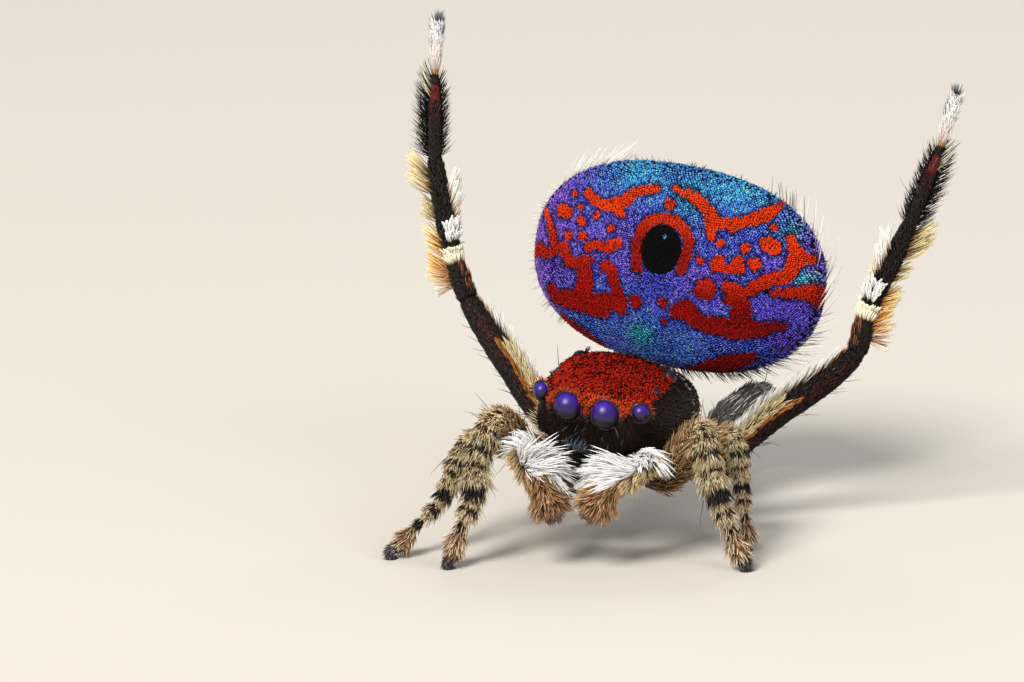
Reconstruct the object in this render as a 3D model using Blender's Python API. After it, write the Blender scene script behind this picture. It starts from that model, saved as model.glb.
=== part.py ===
"""A male peacock spider in its courtship display: a still, life-size model.

The spider stands on six feet, lifts its third pair of legs high and shows
the broad back of its raised abdomen. It faces -Y, its own left is +X, and the
floor is at z = 0. Lengths below are in millimetres. The meshes are written in
metres.
"""

import math
import random

import bmesh
import bpy
from mathutils import Matrix, Vector

MM = 0.001

# The gap that neighbouring pieces keep, and the distance at which the points
# left by a cut are merged.
GAP = 0.03
MERGE = 0.004

# The middle of the whole outline, which becomes the origin.
MIDDLE = Vector((0.52, 0.27, 0.0))

# The front body: where its centre stands, and how it turns, nods and leans.
BODY_CENTRE = Vector((0.06, 0.0, 1.51))
BODY_YAW = -6.0
BODY_NOD = 6.0
BODY_LEAN = 9.5

# The raised abdomen: the middle of its rim, and how far it leans back.
ABDOMEN_CENTRE = Vector((0.375, 1.25, 2.41))
ABDOMEN_YAW = -6.0
ABDOMEN_BACK = -8.0
ABDOMEN_LEAN = 8.0
ABDOMEN_HALF_WIDTH = 1.58
ABDOMEN_HALF_HEIGHT = 1.04

EYE_MEDIAN_RADIUS = 0.142
EYE_LATERAL_RADIUS = 0.088
EYE_REAR_RADIUS = 0.090
EYE_SMALL_RADIUS = 0.030

SIDES_BODY = 30
SIDES_ABDOMEN = 36
SIDES_LEG = 8
BEND = 0.14
BEND_SHARE = 0.36
FOOT_RADIUS = 0.055

SIDES = (("right", -1.0), ("left", 1.0))

DARK = (0.020, 0.013, 0.012, 1.0)
TAN = (0.42, 0.28, 0.16, 1.0)
BLACK_LEG = (0.03, 0.02, 0.018, 1.0)
CREAM = (0.60, 0.50, 0.36, 1.0)
VIOLET = (0.06, 0.02, 0.22, 1.0)
BLUE = (0.07, 0.10, 0.45, 1.0)
GREY = (0.35, 0.33, 0.30, 1.0)


def clear_scene():
    """Empties the file, so that a run starts from nothing."""
    for item in list(bpy.data.objects):
        bpy.data.objects.remove(item, do_unlink=True)


def new_collection(name):
    """A collection linked to the scene."""
    made = bpy.data.collections.new(name)
    bpy.context.scene.collection.children.link(made)
    return made


def finish(name, colour, roughness=0.6, metallic=0.0):
    """One Principled material for one sub-part."""
    made = bpy.data.materials.new(name)
    made.use_nodes = True
    shader = made.node_tree.nodes["Principled BSDF"]
    shader.inputs["Base Color"].default_value = colour
    shader.inputs["Roughness"].default_value = roughness
    shader.inputs["Metallic"].default_value = metallic
    made.diffuse_color = colour
    return made


def turned(centre, yaw, nod, lean):
    """The place of a body part: a centre and three turns in degrees."""
    return (
        Matrix.Translation(centre)
        @ Matrix.Rotation(math.radians(yaw), 4, "Z")
        @ Matrix.Rotation(math.radians(nod), 4, "X")
        @ Matrix.Rotation(math.radians(lean), 4, "Y")
    )


def smooth_value(table, t):
    """Reads a short table of (place, value) with smooth steps between."""
    if t <= table[0][0]:
        return table[0][1]
    for (t0, v0), (t1, v1) in zip(table, table[1:]):
        if t <= t1:
            f = (t - t0) / (t1 - t0)
            return v0 + (v1 - v0) * f * f * (3.0 - 2.0 * f)
    return table[-1][1]


def signed_power(value, power):
    """A power that keeps the sign, for squared-off ellipses."""
    return math.copysign(abs(value) ** power, value)


def link_mesh(name, bm, collection):
    """Turns a bmesh into a linked object."""
    mesh = bpy.data.meshes.new(name)
    bm.to_mesh(mesh)
    bm.free()
    made = bpy.data.objects.new(name, mesh)
    collection.objects.link(made)
    return made


def skin_over(bm, rings, start_point=None, end_point=None):
    """Joins rings of points into one closed skin.

    A ring list is open at both ends, so each end is closed by a fan to its
    point, or by one flat face.
    """
    rows = [[bm.verts.new(point) for point in ring] for ring in rings]
    count = len(rows[0])
    for row, after in zip(rows, rows[1:]):
        for i in range(count):
            j = (i + 1) % count
            bm.faces.new((row[i], row[j], after[j], after[i]))
    if start_point is None:
        bm.faces.new(list(reversed(rows[0])))
    else:
        pole = bm.verts.new(start_point)
        for i in range(count):
            bm.faces.new((rows[0][(i + 1) % count], rows[0][i], pole))
    if end_point is None:
        bm.faces.new(rows[-1])
    else:
        pole = bm.verts.new(end_point)
        for i in range(count):
            bm.faces.new((rows[-1][i], rows[-1][(i + 1) % count], pole))
    bmesh.ops.recalc_face_normals(bm, faces=bm.faces[:])


def evaluated(obj):
    """Applies an object's modifiers to its mesh."""
    bpy.context.view_layer.update()
    graph = bpy.context.evaluated_depsgraph_get()
    mesh = bpy.data.meshes.new_from_object(obj.evaluated_get(graph))
    obj.modifiers.clear()
    obj.data = mesh


def cut(target, cutter, operation="DIFFERENCE", solver="EXACT"):
    """Cuts or joins one object by another, or by a collection of objects."""
    tool = target.modifiers.new("cut", "BOOLEAN")
    tool.operation = operation
    tool.solver = solver
    if isinstance(cutter, bpy.types.Collection):
        tool.operand_type = "COLLECTION"
        tool.collection = cutter
    else:
        tool.object = cutter
    evaluated(target)


def is_closed(bm):
    """True where every edge joins exactly two faces."""
    return all(len(edge.link_faces) == 2 for edge in bm.edges)


def clean(obj):
    """Merges points that lie closer than a hair, where that keeps it closed."""
    for near in (MERGE, MERGE * 0.5, MERGE * 0.25):
        bm = bmesh.new()
        bm.from_mesh(obj.data)
        bmesh.ops.remove_doubles(bm, verts=bm.verts[:], dist=near)
        bmesh.ops.dissolve_degenerate(bm, dist=near, edges=bm.edges[:])
        bmesh.ops.triangulate(bm, faces=bm.faces[:])
        good = is_closed(bm)
        if good:
            bm.to_mesh(obj.data)
        bm.free()
        if good:
            return


def keep_largest(obj):
    """Keeps only the largest closed surface of an object."""
    bm = bmesh.new()
    bm.from_mesh(obj.data)
    bmesh.ops.triangulate(bm, faces=bm.faces[:])
    left = set(bm.faces)
    islands = []
    while left:
        seed = left.pop()
        island = [seed]
        queue = [seed]
        while queue:
            face = queue.pop()
            for edge in face.edges:
                for other in edge.link_faces:
                    if other in left:
                        left.discard(other)
                        island.append(other)
                        queue.append(other)
        volume = 0.0
        for face in island:
            a, b, c = (corner.co for corner in face.verts)
            volume += a.dot(b.cross(c)) / 6.0
        islands.append((abs(volume), island))
    islands.sort(key=lambda item: item[0], reverse=True)
    extra = [face for _, island in islands[1:] for face in island]
    if extra:
        bmesh.ops.delete(bm, geom=extra, context="FACES")
    bm.to_mesh(obj.data)
    bm.free()
    clean(obj)


def swollen(obj, amount, name, collection):
    """A copy grown by an amount along its normals, used as a cutter."""
    made = obj.copy()
    made.data = obj.data.copy()
    made.name = name
    bm = bmesh.new()
    bm.from_mesh(made.data)
    bm.normal_update()
    for vert in bm.verts:
        vert.co += vert.normal * amount
    bm.to_mesh(made.data)
    bm.free()
    collection.objects.link(made)
    made.hide_render = True
    made.display_type = "WIRE"
    return made


# Cephalothorax: half width, top and underside along its length.
FACE_Y = -0.98
REAR_Y = 1.12
CARAPACE_WIDTH = (
    (-0.98, 0.50), (-0.70, 0.61), (-0.20, 0.69), (0.30, 0.71),
    (0.70, 0.61), (0.98, 0.38), (1.12, 0.16),
)
CARAPACE_TOP = (
    (-0.98, 0.25), (-0.80, 0.32), (-0.30, 0.335), (0.05, 0.285),
    (0.45, 0.13), (0.85, -0.12), (1.12, -0.26),
)
CARAPACE_UNDER = (
    (-0.98, -0.32), (-0.76, -0.42), (-0.46, -0.76), (0.05, -0.84),
    (0.60, -0.80), (0.92, -0.58), (1.12, -0.36),
)
CARAPACE_STATIONS = (
    -0.95, -0.86, -0.72, -0.52, -0.30, -0.08,
    0.14, 0.36, 0.56, 0.74, 0.90, 1.02, 1.09,
)


def carapace_ring(y, shrink=1.0):
    """One cross-section of the cephalothorax, squared off like a box."""
    wide = smooth_value(CARAPACE_WIDTH, y) * shrink
    top = smooth_value(CARAPACE_TOP, y)
    under = smooth_value(CARAPACE_UNDER, y)
    middle = -0.18 + 0.10 * max(0.0, y)
    middle = min(middle, 0.5 * (top + under))
    ring = []
    for i in range(SIDES_BODY):
        angle = 2.0 * math.pi * i / SIDES_BODY
        c, s = math.cos(angle), math.sin(angle)
        reach = (top - middle) if s > 0.0 else (middle - under)
        power = 0.72 if s > 0.0 else 1.0
        x = wide * signed_power(c, 0.80 if s > 0.0 else 1.25)
        z = middle + reach * shrink * signed_power(s, power)
        ring.append(Vector((x, y, z)))
    return ring


def make_cephalothorax(collection):
    """The front body, still whole, before the eye sockets are cut."""
    bm = bmesh.new()
    rings = [carapace_ring(FACE_Y, 0.74)]
    rings += [carapace_ring(y) for y in CARAPACE_STATIONS]
    first = sum(rings[0], Vector()) / SIDES_BODY
    last = sum(rings[-1], Vector()) / SIDES_BODY
    first.y = FACE_Y - 0.005
    last.y = REAR_Y
    skin_over(bm, rings, first, last)
    made = link_mesh("cephalothorax", bm, collection)
    made.data.transform(turned(BODY_CENTRE, BODY_YAW, BODY_NOD, BODY_LEAN))
    return made


# Eyes in the frame of the front body: place, radius, rings round and down.
EYES = (
    ("eye_anterior_median", Vector((0.197, -0.965, 0.105)), EYE_MEDIAN_RADIUS, 16, 9),
    ("eye_anterior_lateral", Vector((0.525, -0.850, 0.150)), EYE_LATERAL_RADIUS, 12, 8),
    ("eye_posterior_median", Vector((0.530, -0.400, 0.190)), EYE_SMALL_RADIUS, 8, 5),
    ("eye_posterior_lateral", Vector((0.500, 0.060, 0.190)), EYE_REAR_RADIUS, 12, 8),
)


def make_eyes(collection, helpers, head):
    """Eight round eyes, each in its own socket."""
    place = turned(BODY_CENTRE, BODY_YAW, BODY_NOD, BODY_LEAN)
    made = []
    for side, sign in SIDES:
        for name, spot, radius, around, down in EYES:
            centre = place @ Vector((spot.x * sign, spot.y, spot.z))
            for grow, holder in ((0.0, collection), (0.022, helpers)):
                bm = bmesh.new()
                bmesh.ops.create_uvsphere(
                    bm, u_segments=around, v_segments=down, radius=radius + grow
                )
                bmesh.ops.transform(
                    bm, matrix=Matrix.Translation(centre), verts=bm.verts[:]
                )
                label = f"{name}_{side}" if grow == 0.0 else f"socket_{name}_{side}"
                ball = link_mesh(label, bm, holder)
                if grow == 0.0:
                    made.append(ball)
                else:
                    cut(head, ball)
                    bpy.data.objects.remove(ball, do_unlink=True)
    keep_largest(head)
    return made


# Abdomen: from the crown of its back through the rim to its underside. Each
# row is (depth behind the rim, share of the width, share of the height).
ABDOMEN_ROWS = (
    (-0.437, 0.20, 0.20), (-0.405, 0.42, 0.42), (-0.335, 0.63, 0.63),
    (-0.225, 0.82, 0.82), (-0.110, 0.945, 0.945), (-0.020, 0.992, 0.992),
    (0.050, 1.000, 1.000), (0.115, 0.965, 0.960), (0.165, 0.860, 0.890),
    (0.220, 0.700, 0.850), (0.320, 0.580, 0.840), (0.500, 0.525, 0.790),
    (0.700, 0.450, 0.680), (0.870, 0.300, 0.460),
)
ABDOMEN_BACK_POINT = -0.447
ABDOMEN_UNDER_POINT = 0.985
ABDOMEN_SQUARE = 0.86


# The fringe of the abdomen: stretches of the rim in degrees from its own
# left, the number of locks, and their length.
FRINGE = (
    (-78.0, 52.0, 18, 0.36),
    (52.0, 152.0, 8, 0.24),
    (152.0, 268.0, 8, 0.18),
)
FRINGE_WIDTH = 0.16
FRINGE_RISE = 0.48


def rim_spot(angle, depth_share=1.0):
    """A place on the abdomen's rim and the way out from it."""
    x = signed_power(math.cos(angle), ABDOMEN_SQUARE)
    z = signed_power(math.sin(angle), ABDOMEN_SQUARE)
    place = Vector((
        ABDOMEN_HALF_WIDTH * x * depth_share,
        0.06,
        ABDOMEN_HALF_HEIGHT * z * depth_share,
    ))
    out = Vector((
        math.cos(angle) * ABDOMEN_HALF_HEIGHT,
        0.0,
        math.sin(angle) * ABDOMEN_HALF_WIDTH,
    )).normalized()
    return place, out


def grow_fringe(abdomen, helpers):
    """The long pale fringe round the rim of the abdomen."""
    draw = random.Random(31)
    turn = abdomen_matrix()
    up = Vector((0.0, 0.0, 1.0))
    meshes = []
    for start, end, count, length in FRINGE:
        for number in range(count):
            share = (number + 0.5) / count
            angle = math.radians(start + (end - start) * share)
            place, out = rim_spot(angle, 0.955)
            tuft = Tuft((0, 1), (0, 0), 1, length, FRINGE_WIDTH, FRINGE_RISE)
            along = Vector((-out.z, 0.0, out.x))
            if along.dot(up) < 0.0:
                along = -along
            size = draw.uniform(0.8, 1.15)
            bm = lock_mesh(place, out, along, tuft, size)
            bmesh.ops.transform(bm, matrix=turn, verts=bm.verts[:])
            meshes.append(bm)
    fuse_locks(abdomen, meshes, helpers)


def abdomen_matrix():
    """The frame of the abdomen: x across, -y out of its back, z to its tip."""
    return turned(ABDOMEN_CENTRE, ABDOMEN_YAW, ABDOMEN_BACK, ABDOMEN_LEAN)


def make_abdomen(collection):
    """The raised abdomen: a broad domed back with flaps, and an egg behind."""
    bm = bmesh.new()
    rings = []
    for depth, wide, high in ABDOMEN_ROWS:
        ring = []
        for i in range(SIDES_ABDOMEN):
            angle = 2.0 * math.pi * i / SIDES_ABDOMEN
            x = signed_power(math.cos(angle), ABDOMEN_SQUARE)
            z = signed_power(math.sin(angle), ABDOMEN_SQUARE)
            ring.append(
                Vector((
                    ABDOMEN_HALF_WIDTH * wide * x,
                    depth,
                    ABDOMEN_HALF_HEIGHT * high * z,
                ))
            )
        rings.append(ring)
    skin_over(
        bm,
        rings,
        Vector((0.0, ABDOMEN_BACK_POINT, 0.0)),
        Vector((0.0, ABDOMEN_UNDER_POINT, 0.0)),
    )
    made = link_mesh("abdomen", bm, collection)
    made.data.transform(abdomen_matrix())
    return made


class Tuft:
    """A patch of flat, tapered locks on one length of a limb.

    along is the stretch of the limb that they grow from, as shares of its
    length. around is the arc that they fill, in degrees from the limb's outer
    side. rise is 0 for locks that lie along the limb, and 1 for locks that
    stand straight out. bend turns their tips back towards the limb's end.
    """

    def __init__(self, along, around, count, length, width, rise, bend=0.35):
        self.along = along
        self.around = around
        self.count = count
        self.length = length
        self.width = width
        self.rise = rise
        self.bend = bend


LOCK_SHAPE = ((0.0, 0.80), (0.30, 1.00), (0.68, 0.66))
LOCK_FLATNESS = 0.42


def lock_mesh(root, out, way, tuft, scale):
    """One lock: a flat, tapered spike that bends over as it leaves the skin."""
    lean = (out * tuft.rise + way * (1.0 - tuft.rise)).normalized()
    bend = way if tuft.rise > 0.5 else (way - out * 0.35)
    length = tuft.length * scale
    across = out.cross(way).normalized()
    rings = []
    spots = [
        root + lean * (length * t) + bend * (length * tuft.bend * t * t)
        for t in (0.0, 0.30, 0.68, 1.0)
    ]
    for k, (_, share) in enumerate(LOCK_SHAPE):
        ahead = (spots[k + 1] - spots[max(k - 1, 0)]).normalized()
        thick = ahead.cross(across).normalized()
        half = 0.5 * tuft.width * share
        rings.append([
            spots[k] + across * half,
            spots[k] + thick * (half * LOCK_FLATNESS),
            spots[k] - across * half,
            spots[k] - thick * (half * LOCK_FLATNESS),
        ])
    bm = bmesh.new()
    skin_over(bm, rings, None, spots[-1])
    return bm


def spot_on(rows, share):
    """The place, direction and half width at a share of a path's length."""
    steps = [(b[0] - a[0]).length for a, b in zip(rows, rows[1:])]
    goal = share * sum(steps)
    for (a, b), step in zip(zip(rows, rows[1:]), steps):
        if goal <= step:
            f = goal / step
            place = a[0].lerp(b[0], f)
            way = a[1].lerp(b[1], f).normalized()
            return place, way, a[2] + (b[2] - a[2]) * f
        goal -= step
    last = rows[-1]
    return last[0], last[1], last[2]


def fuse_locks(node, meshes, helpers, solver="EXACT"):
    """Joins a set of locks to their node in one union."""
    holder = bpy.data.collections.new("locks")
    for number, bm in enumerate(meshes):
        link_mesh(f"lock_{number}", bm, holder)
    helpers.children.link(holder)
    cut(node, holder, "UNION", solver)
    for item in list(holder.objects):
        bpy.data.objects.remove(item, do_unlink=True)
    bpy.data.collections.remove(holder)
    keep_largest(node)


def grow_tufts(node, rows, outer, tufts, helpers, seed):
    """Grows tufts on one length of a limb and fuses them to it."""
    draw = random.Random(seed)
    meshes = []
    for tuft in tufts:
        first, last = tuft.along
        low, high = tuft.around
        for number in range(tuft.count):
            share = (number + 0.5) / tuft.count
            spot = first + (last - first) * share
            place, way, half = spot_on(rows, spot)
            step = (number * 0.618034) % 1.0
            angle = math.radians(low + (high - low) * step)
            toward = (outer - way * outer.dot(way)).normalized()
            other = way.cross(toward)
            out = toward * math.cos(angle) + other * math.sin(angle)
            root = place + out * (half * 0.55)
            meshes.append(lock_mesh(root, out, way, tuft, draw.uniform(0.85, 1.1)))
    fuse_locks(node, meshes, helpers)


class Leg:
    """One leg: its joints in order, its half widths and where it is parted."""

    def __init__(self, name, joints, widths, parts, colour, foot=True):
        self.name = name
        self.joints = [Vector(joint) for joint in joints]
        self.widths = widths
        self.parts = parts
        self.colour = colour
        self.foot = foot


# Half widths from the coxa to the foot, to the tips of the short coat.
# Each segment gives its start, middle and end.
STANDING_WIDTHS = (
    (0.15, 0.15, 0.14), (0.14, 0.185, 0.16), (0.15, 0.165, 0.14),
    (0.14, 0.155, 0.125), (0.11, 0.10, 0.085), (0.075, 0.07, 0.065),
)
SLIM_WIDTHS = tuple(tuple(w * 0.80 for w in row) for row in STANDING_WIDTHS)
RAISED_WIDTHS = (
    (0.14, 0.15, 0.13), (0.13, 0.155, 0.130), (0.12, 0.125, 0.115),
    (0.11, 0.115, 0.100), (0.085, 0.088, 0.072), (0.045, 0.052, 0.036),
)

STANDING_PARTS = ("femur", "patella_tibia", "metatarsus_tarsus")
RAISED_PARTS = ("femur", "patella", "tibia", "metatarsus", "tarsus")


def coxa(sign, y, reach=0.70, drop=-0.74):
    """Where a leg leaves the front body: a point inside and one outside."""
    place = turned(BODY_CENTRE, BODY_YAW, BODY_NOD, BODY_LEAN)
    inner = place @ Vector((0.20 * sign, y * 0.80, -0.60))
    outer = place @ Vector((reach * sign, y, drop))
    return inner, outer


LEGS = (
    Leg(
        "leg1_right",
        (*coxa(-1, -0.52), (-0.98, -1.02, 1.42), (-1.10, -1.25, 1.08),
         (-1.12, -1.38, 0.66), (-1.26, -1.45, 0.35), (-1.35, -1.55, 0.0)),
        STANDING_WIDTHS, STANDING_PARTS, TAN,
    ),
    Leg(
        "leg1_left",
        (*coxa(1, -0.52), (1.18, -1.00, 1.37), (1.24, -1.12, 1.07),
         (1.37, -1.20, 0.67), (1.49, -1.22, 0.32), (1.62, -1.26, 0.0)),
        STANDING_WIDTHS, STANDING_PARTS, TAN,
    ),
    Leg(
        "leg2_right",
        (*coxa(-1, -0.16), (-1.41, -0.50, 1.03), (-1.49, -0.75, 0.80),
         (-1.57, -0.95, 0.51), (-1.82, -1.12, 0.28), (-2.02, -1.28, 0.0)),
        SLIM_WIDTHS, STANDING_PARTS, TAN,
    ),
    Leg(
        "leg2_left",
        (*coxa(1, -0.16), (1.32, -0.35, 1.16), (1.38, -0.45, 0.90),
         (1.41, -0.50, 0.58), (1.45, -0.55, 0.28), (1.44, -0.55, 0.0)),
        SLIM_WIDTHS, STANDING_PARTS, TAN,
    ),
    Leg(
        "leg3_right",
        (*coxa(-1, 0.24, 0.76, -0.76), (-1.79, 1.10, 2.02), (-1.95, 1.12, 2.49),
         (-2.09, 1.12, 3.49), (-2.04, 1.10, 4.36), (-1.98, 1.05, 4.97)),
        RAISED_WIDTHS, RAISED_PARTS, BLACK_LEG, False,
    ),
    Leg(
        "leg3_left",
        (*coxa(1, 0.24, 0.80, -0.86), (2.35, 0.62, 1.72), (2.46, 0.65, 2.17),
         (2.93, 0.65, 3.07), (3.27, 0.62, 3.87), (3.48, 0.60, 4.46)),
        RAISED_WIDTHS, RAISED_PARTS, BLACK_LEG, False,
    ),
    Leg(
        "leg4_right",
        (*coxa(-1, 0.62, 0.62), (-0.95, 1.36, 1.18), (-1.00, 1.68, 1.04),
         (-1.00, 2.02, 0.62), (-0.98, 2.15, 0.28), (-0.96, 2.24, 0.0)),
        SLIM_WIDTHS, STANDING_PARTS, GREY,
    ),
    Leg(
        "leg4_left",
        (*coxa(1, 0.62, 0.62), (1.10, 1.42, 1.10), (1.13, 1.75, 0.96),
         (0.95, 2.08, 0.58), (0.78, 2.10, 0.26), (0.64, 1.98, 0.0)),
        SLIM_WIDTHS, STANDING_PARTS, GREY,
    ),
)


def path_of(joints, widths, foot, bend=BEND):
    """Rounds the bends of a jointed path.

    Returns rows of (place, direction, half width), and for each inner joint
    the number of its row.
    """
    rows = []
    marks = {}
    count = len(joints) - 1
    for i in range(count):
        start, end = joints[i], joints[i + 1]
        along = end - start
        length = along.length
        way = along / length
        lead = min(bend, BEND_SHARE * length)
        first = start + way * (lead if i > 0 else 0.0)
        last = end - way * (lead if i < count - 1 else 0.0)
        w0, w1, w2 = widths[i]
        rows.append((first, way, w0))
        rows.append(((start + end) / 2.0, way, w1))
        if i < count - 1:
            rows.append((last, way, w2))
            after = joints[i + 2] - end
            step = min(bend, BEND_SHARE * after.length)
            leave = end + after.normalized() * step
            middle = (last + leave + 2.0 * end) / 4.0
            turn = (leave - last).normalized()
            narrow = 0.48 * (w2 + widths[i + 1][0])
            marks[i + 1] = len(rows)
            rows.append((middle, turn, narrow))
        elif foot:
            down = Vector((0.0, 0.0, -1.0))
            rows.append((Vector((end.x, end.y, 0.075)), down, w2))
            rows.append((Vector((end.x, end.y, 0.0)), down, FOOT_RADIUS))
        else:
            rows.append((start + along * 0.82, way, w2 * 1.1))
            rows.append((start + along * 0.95, way, w2 * 0.7))
    return rows, marks


def ring_rows(rows, sides, flat=1.0):
    """Round rings square to a path, carried along it without twist."""
    rings = []
    side = None
    for place, way, half in rows:
        if side is None:
            side = way.orthogonal().normalized()
        else:
            side = (side - way * side.dot(way)).normalized()
        other = way.cross(side)
        ring = []
        for k in range(sides):
            angle = 2.0 * math.pi * k / sides
            ring.append(
                place
                + side * (half * math.cos(angle))
                + other * (half * flat * math.sin(angle))
            )
        rings.append(ring)
    return rings


def parted(rows, marks, cuts):
    """Parts a path at some of its joints, half a gap to either side."""
    edges = [0] + [marks[joint] for joint in cuts] + [len(rows) - 1]
    lengths = []
    for first, last in zip(edges, edges[1:]):
        piece = [list(row) for row in rows[first:last + 1]]
        if first != 0:
            piece[0][0] = piece[0][0] + piece[0][1] * (GAP / 2.0)
        if last != len(rows) - 1:
            piece[-1][0] = piece[-1][0] - piece[-1][1] * (GAP / 2.0)
        lengths.append(piece)
    return lengths


def make_limb(name, labels, pieces, sides, tip, outer, tufts, holders, near_head):
    """The nodes of one limb: smooth cores first, then their locks.

    The locks of a node are cut clear of the cores beside it.
    """
    collection, helpers = holders
    nodes = []
    near = []
    for label, piece in zip(labels, pieces):
        bm = bmesh.new()
        end = tip if label == labels[-1] else None
        skin_over(bm, ring_rows(piece, sides), None, end)
        node = link_mesh(f"{name}_{label}", bm, collection)
        nodes.append(node)
        near.append(swollen(node, GAP * 0.8, f"near_{node.name}", helpers))
    cut(nodes[0], near_head)
    keep_largest(nodes[0])
    for number, (label, piece) in enumerate(zip(labels, pieces)):
        if not tufts[label]:
            continue
        node = nodes[number]
        grow_tufts(node, piece, outer, tufts[label], helpers, f"{name} {label}")
        for beside in near[max(number - 1, 0):number] + near[number + 1:number + 2]:
            cut(node, beside)
        keep_largest(node)
    for item in near:
        bpy.data.objects.remove(item, do_unlink=True)
    return nodes


def make_leg(leg, holders, near_head):
    """The nodes of one leg, from the body to the foot."""
    sign = -1.0 if leg.name.endswith("right") else 1.0
    outer = Vector((sign, 0.29 * sign, 0.0))
    rows, marks = path_of(leg.joints, leg.widths, leg.foot)
    cuts = (2, 4) if len(leg.parts) == 3 else (2, 3, 4, 5)
    pieces = parted(rows, marks, cuts)
    tip = None if leg.foot else leg.joints[-1]
    tufts = STANDING_TUFTS if leg.foot else RAISED_TUFTS
    return make_limb(
        leg.name, leg.parts, pieces, SIDES_LEG, tip, outer, tufts, holders, near_head
    )


# Tufts of the raised legs, from the outer side of the limb. The outer brush
# and the amber fans are long, the black bristles of the metatarsus are short.
RAISED_TUFTS = {
    "femur": (
        Tuft((0.30, 0.92), (130, 230), 7, 0.26, 0.13, 0.36),
        Tuft((0.35, 0.92), (-60, 60), 6, 0.24, 0.13, 0.34),
    ),
    "patella": (
        Tuft((0.20, 0.72), (-50, 50), 5, 0.26, 0.13, 0.60),
        Tuft((0.40, 0.70), (130, 230), 2, 0.18, 0.12, 0.45),
    ),
    "tibia": (
        Tuft((0.06, 0.14), (-40, 40), 3, 0.26, 0.13, 0.66),
        Tuft((0.22, 0.84), (-50, 50), 8, 0.38, 0.15, 0.55),
        Tuft((0.14, 0.74), (130, 230), 6, 0.28, 0.12, 0.48),
    ),
    "metatarsus": (
        Tuft((0.06, 0.80), (-180, 180), 13, 0.25, 0.12, 0.50),
    ),
    "tarsus": (
        Tuft((0.05, 0.45), (110, 250), 5, 0.30, 0.10, 0.26, 0.12),
        Tuft((0.12, 0.45), (-70, 70), 3, 0.24, 0.09, 0.26, 0.12),
    ),
}

# Short whorls of the banded legs: one above each dark ring.
STANDING_TUFTS = {
    "femur": (),
    "patella_tibia": (
        Tuft((0.26, 0.36), (-180, 180), 4, 0.20, 0.17, 0.34),
        Tuft((0.70, 0.80), (-180, 180), 3, 0.18, 0.16, 0.34),
    ),
    "metatarsus_tarsus": (
        Tuft((0.30, 0.40), (-180, 180), 3, 0.15, 0.10, 0.34),
    ),
}

PALP_TUFTS = {
    "femur": (),
    "tibia": (
        Tuft((0.20, 0.72), (-90, 90), 8, 0.30, 0.12, 0.56),
        Tuft((0.20, 0.60), (130, 230), 3, 0.16, 0.11, 0.40),
    ),
    "cymbium": (
        Tuft((0.30, 0.42), (55, 305), 6, 0.20, 0.15, 0.26),
        Tuft((0.44, 0.60), (-180, 180), 5, 0.18, 0.13, 0.24),
    ),
}

PALP_WIDTHS = ((0.09, 0.10, 0.10), (0.10, 0.115, 0.105), (0.11, 0.150, 0.10))
PALPS = (
    ("palp_right", (-0.31, -0.60, -0.60),
     (-0.66, -1.14, 1.12), (-0.42, -1.36, 0.88), (-0.26, -1.40, 0.46)),
    ("palp_left", (0.31, -0.60, -0.60),
     (0.62, -1.14, 1.05), (0.30, -1.36, 0.88), (0.03, -1.42, 0.50)),
)


def make_palps(holders, near_head):
    """Two palps, held like bent arms in front of the jaws."""
    place = turned(BODY_CENTRE, BODY_YAW, BODY_NOD, BODY_LEAN)
    labels = ("femur", "tibia", "cymbium")
    top = Vector((0.0, -0.45, 1.0))
    made = []
    for name, root, knee, wrist, tip in PALPS:
        joints = [
            place @ Vector(root), Vector(knee), Vector(wrist), Vector(tip),
        ]
        rows, marks = path_of(joints, PALP_WIDTHS, False)
        pieces = parted(rows, marks, (1, 2))
        made += make_limb(
            name, labels, pieces, 12, joints[-1], top, PALP_TUFTS, holders, near_head
        )
    return made


def make_jaws(collection):
    """The two chelicerae that hang below the face, and their fangs."""
    place = turned(BODY_CENTRE, BODY_YAW, BODY_NOD, BODY_LEAN)
    made = []
    for side, sign in SIDES:
        points = [
            (place @ Vector((0.165 * sign, -0.70, -0.26)), 0.13),
            (place @ Vector((0.165 * sign, -0.78, -0.46)), 0.145),
            (place @ Vector((0.160 * sign, -0.80, -0.64)), 0.135),
            (place @ Vector((0.150 * sign, -0.80, -0.76)), 0.105),
        ]
        rows = []
        for k, (spot, half) in enumerate(points):
            ahead = points[min(k + 1, 3)][0] - points[max(k - 1, 0)][0]
            rows.append((spot, ahead.normalized(), half))
        bm = bmesh.new()
        skin_over(bm, ring_rows(rows, 14), None, None)
        made.append(link_mesh(f"chelicera_{side}", bm, collection))
        tips = [
            (place @ Vector((0.170 * sign, -0.80, -0.795)), 0.045),
            (place @ Vector((0.130 * sign, -0.80, -0.860)), 0.030),
            (place @ Vector((0.080 * sign, -0.80, -0.880)), 0.016),
        ]
        rows = []
        for k, (spot, half) in enumerate(tips):
            ahead = tips[min(k + 1, 2)][0] - tips[max(k - 1, 0)][0]
            rows.append((spot, ahead.normalized(), half))
        bm = bmesh.new()
        end = place @ Vector((0.045 * sign, -0.80, -0.875))
        skin_over(bm, ring_rows(rows, 8), None, end)
        made.append(link_mesh(f"fang_{side}", bm, collection))
    return made


def make_pedicel(collection):
    """The thin waist between the two halves of the body."""
    front = turned(BODY_CENTRE, BODY_YAW, BODY_NOD, BODY_LEAN)
    start = front @ Vector((0.0, 0.95, -0.30))
    end = abdomen_matrix() @ Vector((0.0, 0.42, -0.72))
    way = (end - start).normalized()
    rows = [
        (start, way, 0.10), ((start + end) / 2.0, way, 0.085), (end, way, 0.10),
    ]
    bm = bmesh.new()
    skin_over(bm, ring_rows(rows, 12), None, None)
    return link_mesh("pedicel", bm, collection)


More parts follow.
